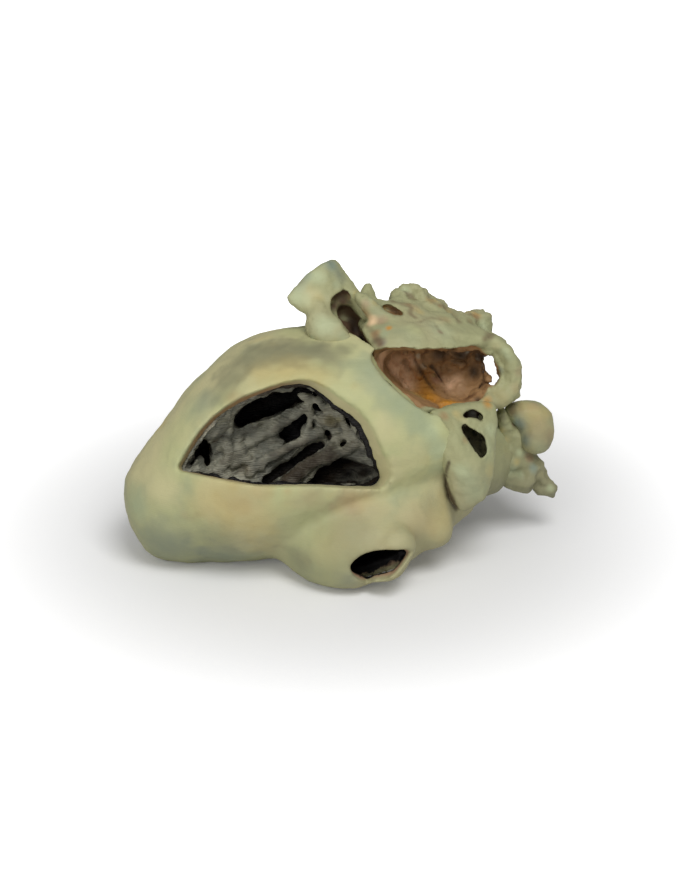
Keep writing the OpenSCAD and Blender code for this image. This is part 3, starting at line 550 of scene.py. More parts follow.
# Painted shade: black patches down the opening's slot and umber in the creases under the ear.
AURICLE_DAUBS = [
    (312, 295, 16, CREAM, 0.7), (320, 298, 8, STRAW, 0.3), (332, 265, 14, BLUE_GREY, 0.75),
    (340, 275, 10, SLATE, 0.5), (298, 285, 12, BLUE_GREY, 0.35), (316, 276, 14, MINT, 0.6),
    (296, 298, 16, MINT, 0.6), (324, 324, 22, MINT, 0.6), (312, 337, 6, SAGE, 0.5),
    (343, 301, 14, BROWN, 1.0), (348, 312, 10, BROWN, 0.9), (349, 298, 5, TAN, 0.4),
    (338, 308, 6, UMBER, 0.5), (352, 322, 8, UMBER, 0.9), (357, 294, 6, STRAW, 0.5),
    (362, 300, 7, PINK, 0.4), (345, 342, 12, SAGE, 0.4), (336, 285, 8, SAGE, 0.5),
    (306, 332, 5, UMBER, 0.9), (309, 339, 5, UMBER, 0.9), (316, 345, 6, SAGE, 0.7),
    (322, 264, 8, SAGE, 0.5), (306, 276, 10, BLUE_GREY, 0.4), (334, 306, 10, BROWN, 1.0),
    (338, 315, 9, BROWN, 1.0), (335, 298, 7, BROWN, 0.9), (342, 334, 9, SAGE, 0.4),
    (353, 330, 8, BLACK, 0.7), (360, 340, 8, BLACK, 0.8), (366, 350, 7, BLACK, 0.8),
    (332, 300, 5, TAN, 0.5),
]
# Painted shade: black and umber patches in the open vein's lumen.
TONGUE_DAUBS = [
    (488, 404, 9, ORANGE, 0.7), (472, 414, 7, GREY, 0.9), (474, 438, 10, BLACK, 0.8),
    (480, 455, 6, UMBER, 0.8), (470, 436, 4, SLATE, 0.6), (470, 480, 22, SAGE, 0.6),
    (490, 430, 12, MINT, 0.4), (462, 470, 12, MINT, 0.5), (490, 470, 9, STRAW, 0.3),
    (465, 421, 5, CREAM, 0.5), (488, 450, 14, SAGE, 0.4), (445, 416, 8, TAN, 0.6),
    (456, 414, 8, STRAW, 0.6), (476, 495, 16, SAGE, 0.4), (465, 440, 7, TAN, 0.4),
]
# Painted shade: blue-grey and slate patches in the crease between the dome and the branch.
DOME_DAUBS = [
    (545, 412, 14, STRAW, 0.5), (535, 405, 10, PINK, 0.4), (550, 435, 14, TAN, 0.3),
    (512, 412, 9, RUST, 0.6), (519, 424, 13, BLUE_GREY, 0.95), (525, 440, 12, SLATE, 0.8),
    (512, 405, 10, BROWN, 0.6), (540, 450, 14, SAGE, 0.4), (538, 424, 24, TAN, 0.35),
    (545, 440, 20, OLIVE, 0.4), (530, 408, 18, STRAW, 0.4), (520, 448, 8, BROWN, 0.6),
]
# The slate patches paint shade in the stump's hollow and low on the branch.
BRANCH_DAUBS = [
    (503, 418, 8, UMBER, 0.5), (505, 440, 9, STRAW, 0.4), (530, 458, 7, PINK, 0.5),
    (533, 468, 8, BLUE_GREY, 0.7), (512, 470, 10, SAGE, 0.6), (520, 452, 7, MINT, 0.5),
    (499, 455, 6, MINT, 0.5), (534, 492, 7, SLATE, 0.9), (507, 412, 8, UMBER, 0.8),
    (513, 424, 5, BROWN, 0.8), (502, 430, 7, STRAW, 0.5), (497, 444, 5, BROWN, 0.7),
    (517, 462, 6, STRAW, 0.5), (520, 474, 8, SAGE, 0.6), (550, 488, 8, MINT, 0.5),
    (500, 476, 8, SLATE, 0.5),
]
RIGHT_DAUBS = [(500, 430, 20, SAGE, 0.4)]


def window(tree, bevel, outline, wall, reach, name):
    """A cutter for a window: the bevel's outline on the skin, then where the wall ends, then straight on."""
    columns = []
    depth = 0.0
    for (u, v), (u_in, v_in) in zip(bevel, outline):
        place = look_at(tree, u, v)
        if place is not None:
            depth = (place - EYE).dot(FORWARD) - STAND_OFF
        columns.append((seen(u, v, BEFORE_ALL), seen(u, v, depth), seen(u_in, v_in, depth + wall),
                        seen(u_in, v_in, depth + wall + reach)))
    cutter = Clay()
    cutter.opening(columns)
    return cutter.made(name)


def past_base(level):
    """A block that covers everything beyond a level over the base plane."""
    return block(200, BASE @ Matrix.Translation((0, 0, 100 + level)), "base_block")


def under_table(level=0.0):
    """A block that covers everything below a level over the table."""
    return block(400, Matrix.Translation((0, 0, level - 200)), "table_block")


def ventricle_walls():
    """The two ventricles fused in one smooth skin, hollowed, then cut open."""
    clay = Clay()
    clay.loft(ventricle_rings(0))
    clay.loft(right_rings(0))
    clay.chain(CONUS, frame_of=HEART)
    for stops in RIGHT_CORNERS:
        clay.slab(stops)
    piece = fuse(clay.made("ventricle_walls"), 1.1)
    soften(piece, 14)
    ruffle(piece, 0.9, 22, seed=3)
    skin = skin_tree(piece)
    left = fuse(lofted(ventricle_rings(LEFT_WALL), "left_hollow"), 1.5)
    carve(piece, carve(left, past_base(LEFT_HOLLOW_END)))
    hollow = Clay()
    hollow.loft(right_rings(RIGHT_WALL))
    hollow.slab([(u, v, depth, radius - RIGHT_WALL / px(1)) for u, v, depth, radius in RIGHT_CORNERS[1]])
    right = fuse(hollow.made("right_hollow"), 1.5)
    carve(right, lofted(ventricle_rings(0), "septum"))
    carve(right, past_base(RIGHT_HOLLOW_END))
    carve(piece, carve(right, under_table(FLOOR_WALL)))
    carve(piece, past_base(WALLS_END))
    carve(piece, window(skin, LEFT_BEVEL, LEFT_WINDOW, LEFT_WALL, LEFT_REACH, "left_cut"))
    carve(piece, window(skin, RIGHT_BEVEL, RIGHT_WINDOW, RIGHT_WALL, RIGHT_REACH, "right_cut"))
    cutter = Clay()
    cutter.prism(ATRIUM_WINDOW, BEFORE_ALL, -10)
    carve(piece, cutter.made("shoulder_cut"))
    bowl = Clay()
    bowl.slab(BOWL)
    carve(piece, bowl.made("shoulder_bowl"))
    groove = Clay()
    groove.chain(on_skin(skin, [(u, v, 0.3, radius) for u, v, radius in TONGUE_SHADOW]))
    cut_by(piece, groove, "groove", 0.5)
    fuse(piece, 0.75)
    soften(piece, 8)
    carve(piece, under_table())
    ruffle(piece, 0.12, 2.5, seed=4)
    mark_under(piece, skin)
    # The closed base is outer skin too, but low down only its outermost millimetre is.
    to_base = BASE.inverted()
    for vert, under in zip(piece.data.vertices, piece.data.attributes["under"].data):
        level = (to_base @ vert.co).z
        if level > WALLS_END - 0.8 or (level > 0 and vert.co.z > 25):
            under.value = 0
    # Painted shadow: the umber line along the furrow by the tongue.
    return daubed(piece, WALL_DAUBS + line_of(TONGUE_SHADOW, 2.2, UMBER, 0.7))


# Pockets into the muscle of the left chamber: pixels and radius, as the photograph shows them.
POCKETS = [
    [(239, 420, 8), (248, 414, 12), (260, 409, 14), (277, 403, 14), (292, 398, 10), (301, 395, 5)],
    [(279, 436, 4), (287, 431, 7), (295, 425, 8), (301, 419, 8), (304, 414, 5)],
    [(286, 438, 4), (300, 434, 5)],
    [(259, 459, 2), (274, 451, 2.6), (288, 443, 2.6)],
    [(266, 481, 7), (284, 468, 8), (302, 456, 8), (320, 444, 6)],
    [(326, 453, 3), (336, 447, 4), (347, 442, 3)],
    [(311, 427, 3.5), (313, 424, 3.5)],
    [(298, 387, 5), (308, 392, 5), (320, 397, 3)],
    [(306, 402, 4), (315, 404, 6), (324, 408, 4)],
    [(344, 420, 4), (351, 426, 4.5)],
    [(323, 430, 4), (328, 433, 4), (330, 438, 3)],
    [(308, 485, 6), (330, 474, 14), (350, 471, 16), (369, 477, 14)],
    [(200, 440, 6), (205, 446, 6.5), (207, 462, 5)],
    [(189, 465, 4), (194, 460, 4), (197, 452, 3)],
]
# The middle of the left window, and how much of its size is cut through the strands.
LEFT_MIDDLE = (281, 440)
STRAND_CUT = 0.985
# Strands over the pockets: pixel, lift off the muscle and radius in pixels.
STRANDS = [
    [(250, 472, 1, 6), (264, 461, 1.6, 5), (282, 451, 2, 5), (304, 440, 2, 5), (320, 432, 1, 6)],
    [(283, 487, 2, 8), (296, 475, 3, 8), (312, 462, 3, 7), (327, 452, 2.4, 5.5), (337, 441, 1, 6)],
    [(312, 463, 3, 5.5), (328, 458, 3, 5.5), (344, 451, 2, 5), (358, 443, 1, 7)],
    [(250, 442, 0, 6), (272, 430, 1, 6), (292, 416, 1, 5), (308, 404, 1, 5)],
    [(300, 395, 1, 4), (316, 400, 1, 4), (330, 410, 1, 6)],
    [(307, 402, 1, 3.4), (310, 412, 1, 3.6), (309, 424, 1, 3.4), (305, 438, 1, 4)],
    [(218, 471, 1.5, 5), (228, 457, 1.5, 6)],
    [(320, 419, 1.5, 5), (331, 421, 2, 7), (342, 422, 1.5, 5)],
    [(230, 430, 0.6, 5), (226, 444, 0.6, 6), (234, 462, 1, 7)],
    [(262, 468, 0.6, 5), (246, 458, 0.8, 6), (238, 446, 0.6, 5)],
    [(334, 438, 1.5, 3.4), (346, 436, 1.8, 3.6), (362, 446, 1, 5)],
    [(340, 412, 1.2, 4), (346, 428, 1.6, 4), (360, 434, 1, 5)],
    [(197, 470, 1, 5), (212, 474, 1, 5), (226, 478, 1, 5)],
    [(196, 448, 0.4, 4), (214, 432, 0.6, 5), (228, 418, 0.6, 5)],
]


def chamber_muscle():
    """The muscle of the left chamber: a thin lining, a thick far wall with pockets, and free strands."""
    piece = fuse(lofted(ventricle_rings(LEFT_WALL - OVERLAP), "chamber_muscle"), 0.8)
    room = Clay()
    room.loft(ventricle_rings(LEFT_WALL))
    bmesh.ops.translate(room.mesh, vec=OPEN_SHIFT, verts=room.mesh.verts)
    room = ruffle(fuse(room.made("room"), 1.0), 1.4, 9, seed=2)
    front = twin(piece)
    carve(front, twin(room))
    front_tree = skin_tree(front)
    bpy.data.objects.remove(front)
    pockets = Clay()
    for stops in POCKETS:
        pockets.slot(stops, BEFORE_SLOTS, 17, taper=0.75)
    pockets = ruffle(fuse(pockets.made("pockets"), 0.7), 0.9, 5, seed=6)
    carve(room, pockets, "UNION")
    carve(room, lofted(ventricle_rings(LEFT_WALL + LINING), "limit"), "INTERSECT")
    carve(piece, room)
    strands = Clay()
    for stops in STRANDS:
        strands.chain(on_skin(front_tree, stops))
    add_to(piece, strands, "strands")
    carve(piece, lofted(ventricle_rings(LEFT_WALL - OVERLAP), "outer"), "INTERSECT")
    carve(piece, past_base(LINING_END))
    cutter = Clay()
    middle_u, middle_v = LEFT_MIDDLE
    cutter.prism([(middle_u + STRAND_CUT * (u - middle_u), middle_v + STRAND_CUT * (v - middle_v))
                  for u, v in LEFT_WINDOW], BEFORE_ALL, -4)
    cut_by(piece, cutter, "muscle_cut", 0.7, rough=0.9)
    fuse(piece, 0.5)
    soften(piece, 4)
    ruffle(piece, 0.6, 3.2, seed=1)
    # The strands are laid pale grey: their own colour, brightened as a painted highlight.
    pale = [(u, v, 1.5 * radius, PALE_GREY, 0.5) for stops in STRANDS for u, v, _, radius in stops]
    return finished(piece, front_tree, pale + MUSCLE_DAUBS)


# Folds and stumps of the veins over the roof: pixel, depth and radius in pixels.
ROOF_LUMPS = [
    [(395, 303, 8, 8), (405, 298, 9, 12), (415, 294, 10, 11), (426, 302, 10, 9.5), (440, 309, 11, 10)],
    [(440, 309, 11, 8), (452, 320, 11, 9), (464, 321, 11, 10), (477, 319, 12, 12), (482, 328, 12, 11)],
    [(362, 302, 0, 7), (366, 293, 1, 7), (369, 286, 2, 5)],
    [(369, 296, 2, 7), (374, 304, 2, 5)],
    [(358, 296, -3, 6), (366, 304, -4, 8), (376, 315, -3, 10), (386, 330, -4, 11)],
    [(377, 303, 0, 5), (392, 304, 1, 4.4), (406, 308, 1, 5), (424, 316, 3, 7), (446, 322, 4, 7)],
    [(410, 310, 6, 8), (424, 320, 4, 8)],
    [(448, 322, 8, 8), (462, 332, 4, 8)],
    [(430, 306, 9, 9), (436, 322, 5, 8)],
    [(388, 340, -6, 5), (410, 341, -6, 4.5), (436, 339, -5, 5), (462, 339, -3, 5), (482, 341, -1, 5)],
    [(364, 322, 2, 7), (371, 333, 1, 6), (373, 346, 0, 6)],
]
# The plate under the roof's folds: pixel, depth and radius in pixels.
ROOF_PLATE = [
    (380, 312, -3, 6), (394, 322, -6, 5), (396, 338, -7, 5), (440, 336, -6, 5), (484, 338, 0, 5),
    (470, 322, 8, 6), (430, 304, 9, 6), (398, 302, 6, 6),
]
# The ring round the atrium's outer end: pixel, depth and radius in pixels.
VEIN_RING = [
    [(482, 338, 1, 7), (496, 343, 2, 8), (508, 354, 3, 8.6), (514, 369, 4, 9), (514, 384, 5, 9),
     (508, 395, 5, 8.6), (497, 402, 3, 8.6), (487, 403, 1, 7), (474, 406, -1, 5)],
    [(486, 338, 9, 7), (498, 345, 9, 8), (508, 357, 10, 8), (512, 371, 11, 8), (511, 384, 11, 8),
     (504, 394, 11, 8), (492, 400, 10, 8)],
]
# Folds on the far side of the bowl behind the window: pixel, lift and radius in pixels.
ATRIUM_FOLDS = [
    [(414, 350, 1, 3), (418, 360, 1.2, 3.4), (424, 368, 1.2, 3), (434, 374, 1, 2.4), (441, 382, 0.6, 2)],
    [(404, 352, 0.6, 2.6), (410, 362, 0.8, 2.6), (420, 376, 0.8, 2.4)],
    [(446, 352, 1, 3), (458, 357, 1, 3), (472, 352, 1, 3)],
    [(452, 364, 1, 2.6), (466, 366, 1, 2.6)],
    [(478, 356, 1, 3), (484, 366, 1, 2.6), (486, 378, 1, 3), (490, 380, 1, 3)],
]
# The bowl of the atrium behind its window: pixel, depth and radius in pixels.
BOWL = [
    (374, 355, -13, 1.5), (391, 350, -6, 2), (430, 351, -6, 2), (470, 349, -4, 2), (484, 351, -2, 2),
    (492, 376, -2, 4), (484, 396, -6, 2), (466, 406, -10, 2), (448, 413, -14, 2), (432, 413, -20, 1.5),
    (415, 404, -21, 1.5), (399, 391, -20, 1.5), (385, 377, -18, 1.5), (375, 364, -15, 1.5),
    (406, 366, 2, 20), (430, 374, 4, 26), (458, 374, 7, 25), (474, 369, 9, 19),
]
# Furrows between the lumps of the roof: pixel and radius in pixels.
ROOF_CREASES = [
    [(392, 301, 1.6), (402, 304, 2), (411, 307, 2), (410, 313, 1.6), (416, 318, 1.6)],
    [(404, 291, 1.5), (410, 296, 2), (416, 300, 1.5)],
    [(428, 296, 1.5), (435, 303, 2), (446, 308, 1.8)],
    [(442, 304, 1.8), (453, 314, 2.4), (459, 322, 2.2)],
    [(470, 314, 1.4), (477, 317, 1.8), (476, 322, 1.4)],
    [(484, 339, 2), (490, 336, 2.4), (495, 333, 1.6)],
    [(436, 326, 1.4), (441, 333, 1.6)],
    [(420, 322, 1.4), (430, 318, 1.6), (442, 320, 1.4)],
    [(366, 326, 1.6), (374, 332, 2), (380, 341, 1.6)],
]
# Creases in the far side of the bowl: pixel and radius in pixels.
ATRIUM_CREASES = [
    [(414, 352, 1.6), (416, 362, 2), (422, 374, 2.6), (429, 384, 2), (434, 390, 1.2)],
    [(431, 366, 1.4), (437, 374, 2), (442, 381, 1.4)],
]


def left_atrium():
    """The left atrium with its window, the folded roof, the veins and the ring round its outer end."""
    piece = fuse(lofted(atrium_rings(LEFT_ATRIUM_ROWS), "left_atrial_wall"), 0.9)
    soften(piece, 6)
    lumps = Clay()
    for stops in ROOF_LUMPS + VEIN_RING:
        lumps.trail(stops)
    lumps.slab(ROOF_PLATE)
    add_to(piece, lumps, "lumps", 0.7)
    fuse(piece, 0.8)
    soften(piece, 3)
    skin = skin_tree(piece)
    bowl = Clay()
    bowl.slab(BOWL)
    bowl = ruffle(ruffle(fuse(bowl.made("bowl"), 0.7), 0.7, 8, seed=8), 0.3, 2.5, seed=2)
    inner = skin_tree(bowl)
    carve(piece, bowl)
    cutter = Clay()
    cutter.prism(ATRIUM_WINDOW, BEFORE_ALL, -9)
    cutter.prism(FAR_WINDOW, BEFORE_ALL, 2)
    cut_by(piece, cutter, "atrium_cut", 0.7, rough=0.4)
    cutter = Clay()
    cutter.prism(THROUGH_HOLE, BEFORE_ALL, 80)
    cut_by(piece, cutter, "through_cut", 0.7, rough=0.5)
    folds = Clay()
    for stops in ATRIUM_FOLDS:
        folds.chain(on_far_side(inner, stops))
    add_to(piece, folds, "folds")
    slots = Clay()
    for stops in ATRIUM_CREASES:
        slots.chain(on_far_side(inner, [(u, v, 0, radius) for u, v, radius in stops]))
    slots.slot([(383, 307, 2.6), (392, 310, 3.6), (402, 314, 2.6)], BEFORE_CREASES, 0.5)
    slots.slot([(346, 318, 6), (354, 331, 7), (363, 345, 6), (370, 358, 4), (375, 367, 2)],
               BEFORE_CREASES, 9)
    for stops in ROOF_CREASES:
        slots.chain(on_skin(skin, [(u, v, 0.1, 1.2 * radius) for u, v, radius in eased(stops, 3)]), 1)
    slots.slot([(359, 284, 1), (361, 292, 1.6), (364, 299, 1.2)], BEFORE_CREASES, 0)
    cut_by(piece, slots, "slots", 0.6, rough=0.4)
    fuse(piece, 0.55)
    soften(piece, 3)
    ruffle(piece, 0.35, 4, seed=5)
    ruffle(piece, 1.3, 4.2, seed=6,
           where=lambda place: min(max((place - TARGET).dot(FORWARD) + 1, 0) / 8, 1))
    # Painted shade: brown lines along the roof's furrows and umber lines along the bowl's creases.
    furrow_shade = [daub for stops in ROOF_CREASES for daub in line_of(stops, 2.4, BROWN, 0.32)]
    crack_shade = [daub for stops in ATRIUM_CREASES for daub in line_of(stops, 2, UMBER, 0.7)]
    return finished(piece, skin, ATRIUM_DAUBS + furrow_shade + crack_shade)


# Ear, neck and back of the auricle: pixel, depth and radius in pixels.
EAR = [
    (293, 298, -6, 6.5), (308, 280, -5, 6.5), (325, 266, -4, 6), (334, 264, 0, 6), (345, 279, 0, 5),
    (357, 292, -1, 4), (330, 302, -5, 6), (303, 307, -6, 6.5), (322, 284, 4, 9),
]
NECK = [
    [(318, 306, -6, 10), (320, 318, -6, 14), (323, 329, -7, 18), (336, 336, -7, 19), (350, 350, -6, 16),
     (366, 366, -5, 12)],
    [(350, 291, -2, 7), (358, 300, 0, 8), (366, 314, 0, 9)],
    [(346, 336, 2, 12), (360, 352, 2, 12)],
]
BACK = [
    (334, 294, 3, 8), (354, 294, 3, 7), (330, 308, 3, 9), (364, 318, 4, 9), (336, 324, 4, 10),
    (370, 338, 6, 9), (374, 352, 7, 8), (352, 342, 5, 10),
]
# The auricle's rough opening: pixel and radius in pixels.
OPENING = [
    (344, 296, 6), (339, 304, 9), (344, 313, 9), (352, 322, 9), (359, 332, 9), (365, 342, 7.5),
    (371, 354, 5),
]


def left_auricle():
    """The ear-shaped auricle, cut open on its near side."""
    clay = Clay()
    clay.slab(EAR)
    for stops in NECK:
        clay.trail(stops)
    clay.slab(BACK)
    piece = fuse(clay.made("auricle_ear"), 0.7)
    soften(piece, 4)
    ruffle(piece, 0.6, 11, seed=7)
    skin = skin_tree(piece)
    opening = Clay()
    opening.slot(OPENING[:3], BEFORE_SLOTS, -1.5)
    opening.slot(OPENING[2:], BEFORE_SLOTS, 3)
    cut_by(piece, opening, "auricle_slot", 0.6, rough=0.7)
    creases = Clay()
    creases.slot([(307, 316, 1.4), (313, 320, 1.6)], BEFORE_CREASES, -6)
    creases.slot([(304, 333, 1.5), (307, 338, 2.2), (313, 343, 1.4)], BEFORE_CREASES, -3)
    cut_by(piece, creases, "auricle_creases", 0.5)
    fuse(piece, 0.5)
    soften(piece, 3)
    ruffle(piece, 0.25, 3, seed=9)
    return finished(piece, skin, AURICLE_DAUBS)


# The right auricle: place in the base frame and radius.
RIGHT_AURICLE = [((-23, -10, 11), 10.5), ((-20, -20, 15), 12), ((-10, -31, 16), 10), ((1.6, -36, 14), 6)]


def right_atrium():
    """The right atrium with its auricle, on the side away from the camera."""
    clay = Clay()
    clay.loft(atrium_rings(RIGHT_ATRIUM_ROWS))
    clay.chain(in_base(*RIGHT_AURICLE))
    piece = fuse(clay.made("right_atrial_wall"), 0.9)
    soften(piece, 10)
    ruffle(piece, 0.9, 10, seed=9)
    return finished(piece, skin_tree(piece), RIGHT_DAUBS)


# The furrow in the ventricle's wall along the tongue, whose line is also painted umber as its shadow: pixel
# and radius in pixels.
TONGUE_SHADOW = [(449, 462, 1.4), (446, 472, 2.2), (447, 486, 2.8), (451, 498, 3), (457, 508, 2.8)]
# The tongue of tissue at the groove: pixel, depth and radius in pixels.
TONGUE = [
    (490, 407, -3, 6.5), (491, 440, -7, 6.5), (488, 474, -8, 6.5), (480, 496, -8, 6.5),
    (463, 506, -7, 6), (455, 499, -6, 4.5), (451, 474, -6, 4), (450, 450, -9, 5), (440, 424, -15, 6),
    (470, 408, -5, 6), (474, 470, -12, 9), (472, 450, 6, 12), (432, 413, -15, 4), (446, 409, -9, 4),
]
# The groove vein's open end: pixel and radius in pixels.
LUMEN = [(464, 426, 2.2), (470, 433, 5.5), (477, 441, 8), (481, 450, 6), (481, 457, 2)]


def coronary_sinus():
    """The open vein at the groove, and the tongue of tissue that hangs from it."""
    clay = Clay()
    clay.slab(TONGUE)
    piece = fuse(clay.made("groove_vein"), 0.7)
    soften(piece, 4)
    ruffle(piece, 0.5, 9, seed=11)
    skin = skin_tree(piece)
    holes = Clay()
    holes.slot(LUMEN, BEFORE_SLOTS, 2)
    holes.slot([(464, 416, 2), (472, 413, 4.6), (480, 416, 3.6)], BEFORE_SLOTS, -5)
    holes.slot([(465, 417, 1.6), (466, 417, 1.6)], BEFORE_SLOTS, 2)
    holes.slot([(480, 416, 2.6), (481, 420, 2.6)], BEFORE_SLOTS, 2)
    cut_by(piece, holes, "sinus_holes", 0.5, rough=0.4)
    fuse(piece, 0.5)
    soften(piece, 2)
    ruffle(piece, 0.25, 3, seed=12)
    # Painted shadow: the umber line along the furrow by the tongue.
    return finished(piece, skin, TONGUE_DAUBS + line_of(TONGUE_SHADOW, 2.2, UMBER, 0.8))


def caudal_cava():
    """The smooth dome of the caudal cava's stump."""
    clay = Clay()
    clay.trail([(514, 412, 12, 11), (525, 415, 12, 16), (536, 421, 13, 18.5), (536, 437, 13, 18.5)])
    clay.chain(in_base(((-27, 6, 20), 8), ((-31, 6, 29), 8.4)))
    piece = fuse(clay.made("caudal_cava_stump"), 0.7)
    soften(piece, 6)
    ruffle(piece, 0.4, 7, seed=13)
    return finished(piece, skin_tree(piece), DOME_DAUBS)


def azygos():
    """The lumpy branch below the dome, with its short side stump."""
    clay = Clay()
    clay.trail([(500, 414, 10, 7), (506, 428, 12, 10), (511, 446, 14, 13), (508, 464, 16, 14)])
    clay.trail([(505, 462, 16, 13), (509, 474, 17, 14), (519, 482, 18, 12), (526, 488, 19, 8)])
    clay.trail([(516, 452, 16, 12), (530, 466, 19, 13), (541, 480, 22, 11), (549, 490, 24, 8)])
    clay.trail([(500, 478, 14, 6), (494, 470, 12, 7), (497, 455, 11, 8)])
    piece = fuse(clay.made("azygos_branch"), 0.7)
    soften(piece, 4)
    ruffle(piece, 1.9, 5.5, seed=15)
    ruffle(piece, 0.8, 2.6, seed=16)
    skin = skin_tree(piece)
    hollow = Clay()
    hollow.slot([(532, 497, 3), (534, 491, 4), (536, 485, 2.4)], BEFORE_CREASES, 18)
    cut_by(piece, hollow, "branch_hollow", 0.6)
    fuse(piece, 0.6)
    soften(piece, 2)
    carve(piece, under_table())
    return finished(piece, skin, BRANCH_DAUBS)


def tube(name, stops, radius, wall):
    """An open vessel along stops in the base frame."""
    clay = Clay()
    clay.chain(in_base(*[(place, radius) for place in stops]))
    piece = fuse(clay.made(name), 0.8)
    skin = skin_tree(piece)
    end = Vector(stops[-1]) - Vector(stops[-2])
    bore = Clay()
    bore.chain(in_base(*[(place, radius - wall) for place in (*stops, Vector(stops[-1]) + end)]))
    cut_by(piece, bore, name + "_bore", 0.8)
    tip = BASE @ Vector(stops[-1])
    heading = (BASE.to_3x3() @ end).to_track_quat("Z", "Y").to_matrix().to_4x4()
    trim = Matrix.Translation(tip) @ heading @ Matrix.Translation((0, 0, 30))
    carve(piece, block(60, trim, name + "_trim"))
    fuse(piece, 0.7)
    soften(piece, 2)
    ruffle(piece, 0.3, 8, seed=17)
    return finished(piece, skin, [])


# Each piece, the nodes it replaces and its slot.
PIECES = [
    (ventricle_walls(), ["left_ventricle", "right_ventricle", "epicardial_fat"], "outer_muscle"),
    (chamber_muscle(), ["trabeculae", "papillary_muscle_cranial", "papillary_muscle_caudal", "left_chordae"],
     "chamber_muscle"),
    (left_atrium(), ["left_atrium", "pulmonary_veins", "pulmonary_vein_ring", "fibrous_skeleton"],
     "atrial_wall"),
    (left_auricle(), ["left_auricle"], "auricle_tissue"),
    (right_atrium(), ["right_atrium", "right_auricle"], "atrial_wall"),
    (coronary_sinus(), ["coronary_sinus"], "vessel_wall"),
    (caudal_cava(), ["caudal_vena_cava"], "vessel_wall"),
    (azygos(), ["azygos_vein"], "vessel_wall"),
    (tube("aortic_stump", [(-2, -15, 0), (0, -17, 15), (0, -19, 36)], 8.5, 2), ["aorta"], "vessel_wall"),
    (tube("pulmonary_stump", [(17, -26, 0), (16.5, -27.7, 9.5), (10, -28.4, 23)], 8, 2),
     ["pulmonary_trunk"], "vessel_wall"),
    (tube("cranial_cava_stump", [(-21.8, -6.6, 13), (-19, -16.5, 23.5), (-16.5, -24.4, 32.5)], 8, 2),
     ["cranial_vena_cava"], "vessel_wall"),
]


# How many ways each point of the skins looks for cover, and how far, to find where black shade is painted.
RAYS = 14
RAY_REACH = 60


def hollow_shade(pieces):
    """Measures how shut in each point of the skins is, from 0 in the open to 1 deep in a hollow; the paints
    turn the most shut-in points black as painted shade.
    """
    coarse = Clay()
    for piece in pieces:
        coarse.mesh.from_mesh(piece.data)
    shade = fuse(coarse.made("shade"), 1.3)
    points = [v.co.copy() for v in shade.data.vertices]
    normals = [v.normal.copy() for v in shade.data.vertices]
    tree = BVHTree.FromPolygons(points, [tuple(p.vertices) for p in shade.data.polygons])
    rays = []
    turn = math.pi * (3 - math.sqrt(5))
    for i in range(RAYS):
        z = 0.25 + 0.7 * i / (RAYS - 1)
        flat = math.sqrt(1 - z * z)
        rays.append(Vector((flat * math.cos(i * turn), flat * math.sin(i * turn), z)))
    find = KDTree(len(points))
    dark = []
    for index, (point, normal) in enumerate(zip(points, normals)):
        find.insert(point, index)
        lift = normal.to_track_quat("Z", "Y").to_matrix()
        start = point + normal * 1.2
        hits = sum(tree.ray_cast(start, lift @ ray, RAY_REACH)[0] is not None for ray in rays)
        dark.append(hits / RAYS)
    find.balance()
    for piece in pieces:
        layer = piece.data.attributes.new("hollow_shade", "FLOAT", "POINT")
        layer.data.foreach_set("value", [sum(dark[i] for _, i, _ in find.find_n(vert.co, 3)) / 3
                                         for vert in piece.data.vertices])
    bpy.data.objects.remove(shade)


hollow_shade([piece for piece, _, _ in PIECES])


class Field:
    """One socket of a material, with arithmetic that adds the Math nodes it needs."""

    def __init__(self, paint, socket):
        self.paint = paint
        self.socket = socket

    def math(self, operation, other):
        """The result of a Math node on this socket and another one or a number."""
        node = self.paint.node("ShaderNodeMath", {"operation": operation}, **{"0": self, "1": other})
        return Field(self.paint, node.outputs[0])

    def __add__(self, other):
        return self.math("ADD", other)

    def __mul__(self, other):
        return self.math("MULTIPLY", other)

    def __sub__(self, other):
        return self.math("SUBTRACT", other)

    def __rsub__(self, other):
        return self * -1 + other

    __radd__ = __add__
    __rmul__ = __mul__

    def rise(self, low, high):
        """0 below low, 1 above high, smooth between."""
        node = self.paint.node("ShaderNodeMapRange", {"interpolation_type": "SMOOTHSTEP"},
                               **{"Value": self, "From Min": low, "From Max": high})
        return Field(self.paint, node.outputs[0])


